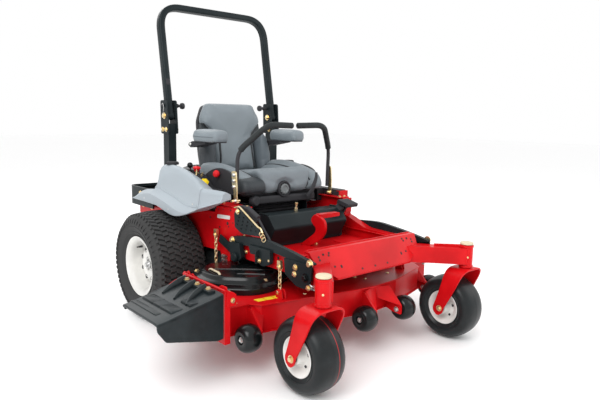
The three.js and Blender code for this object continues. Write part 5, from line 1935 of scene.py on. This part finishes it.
            belt.sweep([(way * 0.078, -0.79, 0.356), (way * 0.2, -0.65, 0.356)],
                bar_section(0.01, 0.014, 0.002))
        belt.piece("deck_belt", "deck", Finish.BLACK)

    def blades(self) -> None:
        """Bolt under each blade."""
        for name, x, y in (("right", -0.502, -0.66), ("centre", 0.0, -0.82), ("left", 0.502, -0.66)):
            Mesher().bolt((x, y, 0.207), (0, 0, -1), 0.015).piece(f"blade_bolt_{name}", f"blade_{name}",
                Finish.BRIGHT, crease_angle=30)


@dataclass
class Deflector:
    """Moulded rubber deflector: drooping top with ribs, hinge ears, raised pads and a deep front wall."""

    inside: float = -0.768
    tip: float = -1.1

    def build(self) -> None:
        """Builds the deflector and its three bolts."""
        body, count = Mesher(), 14
        top, under = [], []
        for i in range(count + 1):
            t = i / count
            x = self.inside + (self.tip - self.inside) * t
            rear, front = -0.664 - 0.085 * t, -1.003 - 0.054 * t
            z = 0.4165 - 0.044 * t - 0.006 * math.sin(math.pi * t)
            row = []
            for k in range(13):
                s = k / 12
                y = rear + (front - rear) * s
                edge = min(s, 1 - s) * 12
                row.append((x, y, z - (0.004 if edge < 0.5 else 0.0)))
            top.append(row)
            under.append([(p[0], p[1], p[2] - 0.012) for p in row])
        body.loft([a + b[::-1] for a, b in zip(top, under)])
        outer = [(self.inside, 0.41), (-0.9, 0.394), (self.tip, 0.367), (-1.097, 0.338), (-1.058, 0.286),
            (-0.8, 0.214), (self.inside, 0.216)]
        face = [Vector((x, -1.003 - 0.054 * (self.inside - x) / 0.332, z)) for x,
            z in evenly_rounded(outer, 0.008, 3)]
        body.loft([[p + Vector((0, shift, 0)) for p in face] for shift in (0.0, 0.01)])
        lip = [(self.inside, 0.408), (self.tip + 0.002, 0.366), (self.tip + 0.008, 0.346),
            (self.inside, 0.352)]
        back = [Vector((x, -0.664 - 0.085 * (self.inside - x) / 0.332, z)) for x, z in lip]
        body.loft([[p + Vector((0, shift, 0)) for p in back] for shift in (-0.01, 0.0)])
        body.piece("deflector_shell", "chute", Finish.CHUTE, ["chute"], bevel=0.004, crease_angle=28)
        ribs = Mesher()
        for y, bend in ((-0.73, -0.022), (-0.815, -0.03), (-0.9, -0.038)):
            path = []
            for k in range(9):
                t = k / 8
                x = self.inside - 0.026 - 0.136 * t
                path.append((x, y + bend * t * t * 2.0, 0.4225 - 0.02 * t - 0.012 * t * t))
            ribs.sweep(path, [(-0.013, -0.012), (0.013, -0.012), (0.009, 0.008), (0.003, 0.014),
                (-0.003, 0.014), (-0.009, 0.008)], scale=lambda s: 1.15 - 0.75 * s)
        ribs.plate("z", rounded([(-0.784, -0.69, 0.006), (-0.814, -0.694, 0.012), (-0.818, -0.96, 0.014),
            (-0.784, -0.966, 0.006)], 4), 0.404, 0.4215)
        ribs.piece("deflector_ribs", "chute", Finish.CHUTE, bevel=0.002, crease_angle=50)
        pads = Mesher()
        for x, y, w, d in ((-0.985, -0.8, 0.03, 0.055), (-0.985, -0.88, 0.03, 0.035),
                (-0.985, -0.955, 0.03, 0.05), (-0.905, -0.96, 0.024, 0.04), (-1.05, -0.86, 0.014, 0.12)):
            z = 0.4165 - 0.044 * (self.inside - x) / 0.332 - 0.008
            rings = [[(x + u * g, y + v * g, z + h) for u, v in oblong(-w, -d, w, d, 0.01, 3)] for h,
                g in ((0.0, 1.0), (0.005, 0.97), (0.0075, 0.9))]
            pads.loft(rings)
        pads.piece("deflector_pads", "chute", Finish.CHUTE)
        bolts = Mesher()
        for y in (-0.735, -0.825, -0.915):
            bolts.bolt((-0.797, y - 0.012, 0.4215), (0, 0, 1), 0.0095)
        bolts.piece("deflector_bolts", "chute", Finish.ZINC, crease_angle=30)


@dataclass
class LiftGear:
    """Deck lift: strut bolts, hanging brackets, cross shaft, height plate fittings and chains."""

    strut: float = -0.418

    def build(self) -> None:
        """Builds the lift gear of both sides."""
        for name, side in SIDES:
            self.brackets(name, side)
        self.bolts()
        self.selector()
        self.chains()

    def brackets(self, name: str, side: int) -> None:
        """Hanging brackets under the strut, the rear arm, the padded sleeve and the front link.

        Args:
            name: right or left, as in the names of bodies and nodes.
            side: -1 for the right side, 1 for the left.
        """
        x = self.strut
        iron = Mesher()
        iron.plate("x", rounded([(-0.534, 0.51, 0.006), (-0.628, 0.516, 0.006), (-0.65, 0.442, 0.014),
            (-0.6, 0.412, 0.014), (-0.556, 0.414, 0.01)], 4), x - 0.014, x + 0.01)
        iron.plate("x", rounded([(-0.706, 0.524, 0.006), (-0.878, 0.526, 0.006), (-0.88, 0.46, 0.01),
            (-0.822, 0.436, 0.014), (-0.79, 0.446, 0.01), (-0.775, 0.486, 0.01), (-0.72, 0.48, 0.01)], 4),
            x - 0.012, x + 0.008)
        iron.plate("y", rounded([(x - 0.03, 0.446, 0.006), (x + 0.01, 0.446, 0.006),
            (x + 0.01, 0.52, 0.004), (x - 0.03, 0.508, 0.008)], 3), -0.792, -0.784)
        iron.lathe([(0, 0), (0.024, 0), (0.024, 0.036), (0.018, 0.042), (0, 0.042)],
            (x + 0.012, -0.598, 0.44), (-1, 0, 0), 28)
        iron.sweep([(x + 0.006, -0.6, 0.442), (x + 0.006, -0.5, 0.478), (x + 0.004, -0.425, 0.508)],
            bar_section(0.01, 0.044, 0.003), up=(0, 0, 1))
        iron.flipped(side).piece(f"lift_brackets_{name}", "frame", Finish.CHARCOAL, bevel=0.0015)
        link = Mesher().sweep(filleted([(x + 0.002, -1.128, 0.42), (x + 0.01, -1.156, 0.405),
            (x + 0.05, -1.168, 0.402)], 0.02, 5), bar_section(0.012, 0.022, 0.004))
        link.flipped(side).piece(f"front_link_{name}", "frame", Finish.BRIGHT, bevel=0.001)
        if side < 0:
            shaft = Mesher().lathe(bar_profile(0.014, 0.8), (-0.4, -0.598, 0.44), (1, 0, 0), 20)
            shaft.piece("lift_shaft", "frame", Finish.CHARCOAL)

    def bolts(self) -> None:
        """Zinc bolts on struts and their front plates."""
        gold = Mesher()
        for y, z, size in ((-0.552, 0.52, 0.013), (-1.15, 0.516, 0.014)):
            gold.bolt((-0.4185, y, z), (-1, 0, 0), size)
        for y, z in ((-1.06, 0.484), (-1.054, 0.452)):
            gold.bolt((-0.4255, y, z), (-1, 0, 0), 0.01)
        gold.bolt((-0.424, -1.146, 0.408), (-1, 0, 0), 0.009)
        gold.bolt((-0.432, -0.8, 0.462), (-1, 0, 0), 0.009)
        gold.bolt((-0.424, -0.868, 0.474), (-1, 0, 0), 0.007)
        gold.mirrored().piece("strut_bolts", "frame", Finish.ZINC, crease_angle=30)
        dark = Mesher().bolt((-0.4255, -1.128, 0.45), (-1, 0, 0), 0.014).bolt((-0.432, -0.598, 0.44),
            (-1, 0, 0), 0.011)
        dark.mirrored().piece("plate_bolts", "frame", Finish.GLOSS, crease_angle=30)

    def selector(self) -> None:
        """Height selector: zinc pin rod along the plate's edge, spring clip, channel and foot lever tube."""
        x = -0.431
        rod = Mesher().sweep(filleted([(x, -0.588, 0.694), (x, -0.628, 0.704), (x, -0.79, 0.622),
            (x, -0.806, 0.622), (x, -0.822, 0.6)], 0.012, 6), circle(0.0045, 10))
        rod.bolt((-0.427, -0.612, 0.676), (-1, 0, 0), 0.01)
        for k in range(3):
            rod.sweep([(x + 0.011 * math.cos(a), -0.812 - k * 0.01,
                0.594 - k * 0.012 + 0.011 * math.sin(a)) for a in (2 * math.pi * j / 14 for j in
                range(15))], circle(0.0024, 8), up=(0, 1, 0))
        rod.piece("selector_rod", "frame", Finish.ZINC, crease_angle=40)
        channel = Mesher().plate("x", rounded([(-0.56, 0.697, 0.008), (-0.606, 0.704, 0.01),
            (-0.738, 0.652, 0.012), (-0.726, 0.626, 0.01), (-0.6, 0.676, 0.01), (-0.566, 0.672, 0.008)],
            4), -0.3995, -0.378)
        channel.sweep([(-0.388, -0.64, 0.694), (-0.388, -0.69, 0.673), (-0.388, -0.732, 0.656)],
            circle(0.013, 14))
        channel.sweep(flowing([(-0.386, -0.735, 0.645), (-0.384, -0.775, 0.6), (-0.386, -0.82, 0.56),
            (-0.388, -0.84, 0.52)], 5), circle(0.006, 10))
        channel.piece("selector_channel", "frame", Finish.BLACK, bevel=0.002)

    def chains(self) -> None:
        """Lift chains at the four corners with their zinc tops; they ride with the deck."""
        for name, side in SIDES:
            links = Mesher()
            for x, y, high, low in ((-0.43, -0.958, 0.462, 0.345), (-0.42, -0.4, 0.52, 0.345)):
                count = int((high - low) / 0.0185)
                for k in range(count):
                    z = high - 0.01 - k * (high - low - 0.02) / (count - 1)
                    self.link(links, Vector((x - 0.002, y, z)), k % 2 == 0)
                links.plate("x", rounded([(y - 0.01, high - 0.008, 0.004),
                    (y + 0.014, high - 0.008, 0.004), (y + 0.018, high + 0.032, 0.006),
                    (y - 0.006, high + 0.032, 0.006)], 3), x - 0.006, x + 0.008)
                links.bolt((x - 0.006, y + 0.004, high + 0.002), (-1, 0, 0), 0.008)
                links.bolt((x - 0.01, y, low), (-1, 0, 0), 0.009)
            links.flipped(side).piece(f"lift_chains_{name}", "deck", Finish.ZINC, crease_angle=45)

    def link(self, into: Mesher, centre: Vector, turned: bool) -> None:
        """One oval link, flat to the side or turned a quarter.

        Args:
            into: the mesher that takes the faces.
            centre: its middle.
            turned: true for a link across the machine.
        """
        path = []
        for k in range(17):
            a = 2 * math.pi * k / 16
            across, along = 0.0075 * math.cos(a), 0.0085 * math.sin(a) + 0.0045 * (1 if
                math.sin(a) > 0 else -1)
            path.append(centre + (Vector((across, 0, along)) if turned else Vector((0, across, along))))
        into.sweep(path, circle(0.0026, 8), up=(0, 1, 0) if turned else (1, 0, 0))


@dataclass
class Chassis:
    """Fittings of the frame: holes, bolts, floor mat, pedals, underbody drive, panel and rear guard."""

    def build(self) -> None:
        """Builds the frame's fittings."""
        self.holes()
        self.plates()
        self.floor()
        self.drive()
        self.controls()

    def holes(self) -> None:
        """Near-black discs in the front plate and the rail boxes, as painted shade for their punched holes.
        """
        dark = Mesher()
        normal = Vector((0, -0.121, 0.075)).normalized()
        for x, share in ((-0.33, 0.2), (-0.298, 0.14), (-0.262, 0.12), (-0.215, 0.62), (-0.3, 0.72),
                (0.3, 0.14), (0.268, 0.2), (0.33, 0.3), (0.215, 0.66), (0.255, 0.6), (0.0, 0.86),
                (-0.09, 0.86)):
            y, z = -1.094 - 0.075 * share, 0.549 - 0.121 * share
            dark.lathe([(0, 0), (0.0055, 0), (0.005, 0.0012), (0, 0.0012)], Vector((x, y, z)), normal, 14)
        for y, z, size in ((-0.385, 0.655, 0.005), (-0.43, 0.66, 0.004), (-0.5, 0.664, 0.005),
                (-0.56, 0.664, 0.004), (-0.395, 0.56, 0.006), (-0.47, 0.59, 0.009), (-0.48, 0.575, 0.005),
                (-0.3, 0.6, 0.006), (-0.52, 0.6, 0.004), (-0.56, 0.54, 0.004), (-0.9, 0.49, 0.008),
                (-0.99, 0.47, 0.006)):
            dark.lathe([(0, 0), (size, 0), (size * 0.9, 0.0012), (0, 0.0012)], (-0.395, y, z),
                (-1, 0, 0), 14)
        # These discs are painted shade where the holes are.
        dark.mirrored().piece("punched_holes", "frame", Finish.FOAM)

    def plates(self) -> None:
        """Blank plates, rail bolts, rail flanges and crossmember folds."""
        blank = Mesher().plate("x", evenly_rounded([(-0.372, 0.606), (-0.492, 0.614), (-0.493, 0.634),
            (-0.373, 0.626)], 0.004, 3), -0.3964, -0.395)
        blank.mirrored().piece("blank_side_plate", "frame", Finish.RIM)
        red = Mesher()
        red.plate("z", oblong(-0.397, -0.368, -0.318, -0.586, 0.004, 3), 0.681, 0.686)
        red.plate("z", oblong(-0.345, -0.62, -0.33, -1.03, 0.004, 3), 0.512, 0.517)
        red.plate("y", oblong(-0.397, 0.596, -0.352, 0.682, 0.003, 3), -0.607, -0.603)
        red.mirrored()
        red.sweep([(-0.366, -1.062, 0.5505), (0.366, -1.062, 0.5505)], bar_section(0.006, 0.006, 0.002))
        red.sweep([(-0.262, -1.164, 0.4235), (0.262, -1.164, 0.4235)], bar_section(0.01, 0.007, 0.002))
        red.piece("frame_folds", "frame", Finish.RED, bevel=0.0012)
        bolts = Mesher()
        for x, y, z in ((-0.36, -0.38, 0.686), (-0.375, -0.565, 0.686), (-0.338, -0.565, 0.686)):
            bolts.bolt((x, y, z), (0, 0, 1), 0.007)
        for y, z in ((-0.625, 0.545), (-0.64, 0.47), (0.3, 0.48), (0.4, 0.56), (0.52, 0.56),
                (0.12, 0.52)):
            bolts.bolt((-0.395, y, z), (-1, 0, 0), 0.008)
        for x, y in ((-0.25, -1.045), (-0.12, -1.045)):
            bolts.bolt((x, y, 0.5), (0, 0, 1), 0.008)
        for y in (0.385, 0.5):
            bolts.bolt((-0.424, y, 0.65), (-1, 0, 0), 0.009)
        bolts.mirrored().piece("frame_bolts", "frame", Finish.ZINC, crease_angle=30)
        guard = Mesher()
        for z in (0.58, 0.668):
            guard.plate("z", evenly_rounded([(-0.412, 0.335), (-0.398, 0.335), (-0.398, 0.62),
                (-0.376, 0.664), (0.376, 0.664), (0.398, 0.62), (0.398, 0.335), (0.412, 0.335),
                (0.412, 0.632), (0.388, 0.678), (-0.388, 0.678), (-0.412, 0.632)], 0.003, 2),
                z, z + 0.004)
        guard.piece("guard_flanges", "frame", Finish.CHARCOAL)

    def floor(self) -> None:
        """Red floor tray with two raised hatches and their bolts."""
        mat = Mesher().plate("z", oblong(-0.3, -0.7, 0.3, -1.015, 0.02, 4), 0.47, 0.474)
        mat.piece("floor_tray", "frame", Finish.RED, bevel=0.001)
        hatch = Mesher()
        hatch.plate("z", oblong(-0.23, -0.86, -0.085, -1.0, 0.02, 4), 0.474, 0.478)
        hatch.plate("z", oblong(0.12, -0.74, 0.27, -1.0, 0.02, 4), 0.474, 0.478)
        hatch.piece("floor_hatches", "frame", Finish.RED, bevel=0.0015)
        screws = Mesher()
        for x, y in ((-0.27, -0.73), (0.0, -0.73), (0.09, -0.98), (-0.27, -0.98), (0.285, -0.86),
                (0.06, -0.86)):
            screws.bolt((x, y, 0.474), (0, 0, 1), 0.008)
        screws.piece("floor_bolts", "frame", Finish.ZINC, crease_angle=30)

    def drive(self) -> None:
        """Pumps, belt drive, tank under the seat and cross tubes between the rails."""
        dark = Mesher()
        for side in (-1, 1):
            x = side * 0.225
            dark.plate("z", oblong(x - 0.075, -0.16, x + 0.075, 0.06, 0.02, 4), 0.3, 0.44)
            dark.lathe([(0, 0), (0.06, 0), (0.06, 0.01), (0.05, 0.015), (0.05, 0.02), (0.06, 0.025),
                (0.06, 0.035), (0, 0.035)], (x, -0.05, 0.262), (0, 0, 1), 40)
            dark.lathe(bar_profile(0.036, 0.11), (side * 0.3, -0.1, 0.37), (side, 0, 0), 28)
            dark.block((side * 0.34 - 0.01, -0.48, 0.3), (side * 0.34 + 0.004, 0.3, 0.47))
            dark.sweep(flowing([(side * 0.3, -0.12, 0.4), (side * 0.34, -0.25, 0.36),
                (side * 0.25, -0.36, 0.4), (side * 0.16, -0.3, 0.5)], 6), circle(0.011, 12))
        dark.block((-0.335, -0.52, 0.33), (0.335, -0.5, 0.466))
        dark.block((-0.338, 0.2, 0.44), (0.338, 0.54, 0.466))
        dark.block((-0.3, -0.5, 0.44), (0.3, 0.14, 0.476))
        dark.lathe([(0, 0), (0.075, 0), (0.075, 0.012), (0.062, 0.018), (0.062, 0.028), (0.075, 0.034),
            (0.075, 0.046), (0, 0.046)], (0, 0.3, 0.3), (0, 0, 1), 40)
        dark.lathe(bar_profile(0.03, 0.13), (0, 0.3, 0.34), (0, 0, 1), 24)
        dark.piece("drive_housing", "frame", Finish.FOAM, bevel=0.002)
        fitting = Mesher().lathe([(0, 0), (0.01, 0), (0.01, 0.016), (0.006, 0.018), (0.006, 0.034),
            (0.009, 0.036), (0.009, 0.046), (0, 0.048)], (-0.035, -0.6, 0.642), (0, -0.1, 1), 20)
        fitting.piece("brass_fitting", "frame", Finish.ZINC, crease_angle=40)
        springs = Mesher()
        for x, z in ((-0.405, 0.452), (-0.405, 0.432)):
            for k in range(5):
                springs.lathe([(0.006, 0), (0.01, 0), (0.01, 0.004), (0.006, 0.004)],
                    (x, -0.47 + k * 0.007, z - 0.04), (0, 1, 0), 16, loop=True)
        springs.piece("return_springs", "frame", Finish.BRIGHT)

    def controls(self) -> None:
        """Pedal lever with rolled edges, rubber foot pad, and the seat panel's flanges."""
        pedal = Mesher().plate("x", rounded([(-0.672, 0.472, 0.01), (-0.787, 0.552, 0.03),
            (-0.793, 0.579, 0.018), (-0.76, 0.6, 0.016), (-0.752, 0.624, 0.016), (-0.78, 0.651, 0.012),
            (-0.856, 0.627, 0.026), (-0.864, 0.568, 0.034), (-0.826, 0.52, 0.03), (-0.742, 0.472, 0.01)],
            6), -0.06, -0.044)
        pedal.plate("y", rounded([(-0.046, 0.628, 0.004), (0.095, 0.63, 0.006), (0.095, 0.65, 0.006),
            (-0.046, 0.652, 0.004)], 3), -0.812, -0.776)
        pedal.piece("lift_pedal", "frame", Finish.RED, ["pedal_arm"], bevel=0.003)
        pad = Mesher()
        pad.plate("x", rounded([(-0.613, 0.472, 0.004), (-0.643, 0.472, 0.004), (-0.645, 0.59, 0.03),
            (-0.7, 0.664, 0.006), (-0.662, 0.674, 0.006), (-0.615, 0.6, 0.02)], 5), 0.27, 0.286)
        pad.plate("x", rounded([(-0.652, 0.669, 0.006), (-0.74, 0.651, 0.006), (-0.747, 0.672, 0.008),
            (-0.66, 0.692, 0.008)], 4), 0.226, 0.307)
        pad.lathe([(0, 0), (0.022, 0), (0.024, 0.006), (0.024, 0.02), (0, 0.022)], (0.262, -0.65, 0.64),
            (-1, -0.3, 0.4), 24)
        pad.piece("brake_pad", "frame", Finish.BLACK, ["foot_pad"], bevel=0.003)
        panel = Mesher().plate("x", rounded([(-0.56, 0.641, 0.004), (-0.65, 0.641, 0.012),
            (-0.704, 0.576, 0.014), (-0.652, 0.488, 0.012), (-0.649, 0.4715, 0.003),
            (-0.56, 0.4715, 0.003)], 5), -0.263, 0.263)
        panel.plate("z", rounded([(-0.264, -0.64, 0.01), (-0.25, -0.64, 0.004), (-0.25, -0.565, 0.004),
            (-0.264, -0.565, 0.01)], 3), 0.64, 0.648)
        panel.plate("z", rounded([(0.25, -0.64, 0.01), (0.264, -0.64, 0.004), (0.264, -0.565, 0.004),
            (0.25, -0.565, 0.01)], 3), 0.64, 0.648)
        panel.piece("seat_front_panel", "frame", Finish.CHARCOAL, ["seat_panel"], bevel=0.002)


@dataclass
class Engine:
    """Engine dressed as a twin: crankcase, finned heads, fan housing, screen, filter, muffler and leads."""

    def build(self) -> None:
        """Builds the engine's pieces."""
        core = Mesher().plate("y", rounded([(-0.16, 0.47, 0.02), (0.16, 0.47, 0.02), (0.165, 0.69, 0.05),
            (-0.165, 0.69, 0.05)], 5), 0.215, 0.545)
        core.lathe([(0, 0.68), (0.158, 0.68), (0.17, 0.705), (0.171, 0.78), (0.16, 0.8), (0.13, 0.812),
            (0.128, 0.806), (0, 0.806)], (0, 0.383, 0), (0, 0, 1), 56)
        core.piece("engine_core", "frame", Finish.ENGINE, ["engine"], bevel=0.004, crease_angle=35)
        heads = Mesher()
        for k in range(15):
            x = 0.168 + k * 0.0055
            size = 0.068 if k < 12 else 0.052
            heads.plate("x", oblong(0.383 - size, 0.5, 0.383 + size, 0.636, 0.01, 2), x, x + 0.0026)
        heads.block((0.16, 0.33, 0.515), (0.246, 0.436, 0.62))
        heads.mirrored().piece("cylinder_heads", "frame", Finish.BRIGHT)
        screen = Mesher()
        for k in range(7):
            r = 0.02 + k * 0.017
            screen.lathe([(r, 0.8095), (r + 0.005, 0.8095), (r + 0.005, 0.8135), (r, 0.8135)],
                (0, 0.383, 0), (0, 0, 1), 40, loop=True)
        for k in range(12):
            a = 2 * math.pi * k / 12
            way = Vector((math.cos(a), math.sin(a), 0))
            screen.sweep([Vector((0, 0.383, 0.8135)) + way * 0.018,
                Vector((0, 0.383, 0.8135)) + way * 0.128], bar_section(0.004, 0.003, 0.001))
        screen.lathe([(0, 0.806), (0.02, 0.806), (0.02, 0.818), (0.012, 0.822), (0, 0.822)],
            (0, 0.383, 0), (0, 0, 1), 32)
        screen.piece("fan_screen", "frame", Finish.MESH, crease_angle=35)
        filters = Mesher().lathe([(0, 0), (0.048, 0), (0.05, 0.004), (0.05, 0.18), (0.046, 0.186),
            (0.02, 0.188), (0, 0.19)], (-0.095, 0.225, 0.745), (1, 0, 0), 40)
        filters.lathe([(0, 0), (0.034, 0), (0.036, 0.004), (0.036, 0.07), (0.03, 0.076), (0, 0.076)],
            (0.06, 0.555, 0.54), (0.2, 1, 0), 32)
        filters.piece("air_cleaner", "frame", Finish.BLACK, bevel=0.002)
        muffler = Mesher().lathe([(0, 0), (0.03, 0.0), (0.044, 0.01), (0.044, 0.3), (0.03, 0.31),
            (0, 0.31)], (-0.155, 0.6, 0.6), (1, 0, 0), 40)
        for side in (-1, 1):
            muffler.sweep(filleted([(side * 0.205, 0.44, 0.52), (side * 0.225, 0.52, 0.5),
                (side * 0.2, 0.6, 0.52), (side * 0.12, 0.6, 0.59)], 0.04, 6), circle(0.014, 14))
        muffler.piece("muffler", "frame", Finish.STEEL)
        wires = Mesher()
        for side in (-1, 1):
            wires.sweep(flowing([(side * 0.232, 0.383, 0.6), (side * 0.246, 0.36, 0.66),
                (side * 0.19, 0.32, 0.712), (side * 0.12, 0.26, 0.715)], 6), circle(0.0045, 10))
        wires.piece("spark_leads", "frame", Finish.BLACK)


@dataclass
class CadNodes:
    """Finishes of the CAD nodes that stay as they are."""

    def build(self) -> None:
        """Dresses each node by its record slot, with its edges rounded."""
        record = {row["node"]: row["material_slot"] for row in frame["record"]["subparts"]}
        plain = {"red_paint": Finish.RED, "tank_plastic": Finish.TANK, "charcoal_steel": Finish.CHARCOAL,
            "black_plastic": Finish.BLACK, "seat_vinyl": Finish.SEAT, "tyre_rubber": Finish.TYRE,
            "rim_paint": Finish.RIM, "zinc_plate": Finish.ZINC, "chute_rubber": Finish.CHUTE,
            "blade_steel": Finish.STEEL, "engine_black": Finish.ENGINE}
        for name, node in frame["nodes"].items():
            if node.hide_render or node.modifiers:
                continue
            finish = plain[record[name]]
            dress(node, finish, 34)
            soften(node, 0.003)


ASSEMBLIES = (Studio(), DriveWheels(), Casters(), RollBar(), Levers(), Tanks(), Seat(), Consoles(),
    Deck(), Deflector(), LiftGear(), Chassis(), Engine(), CadNodes())


def main() -> None:
    """Builds every sub-assembly in order."""
    logging.basicConfig(level=logging.INFO, format="%(name)s: %(message)s")
    for assembly in ASSEMBLIES:
        log.info("building %s", type(assembly).__name__)
        assembly.build()


if __name__ == "__main__":
    main()
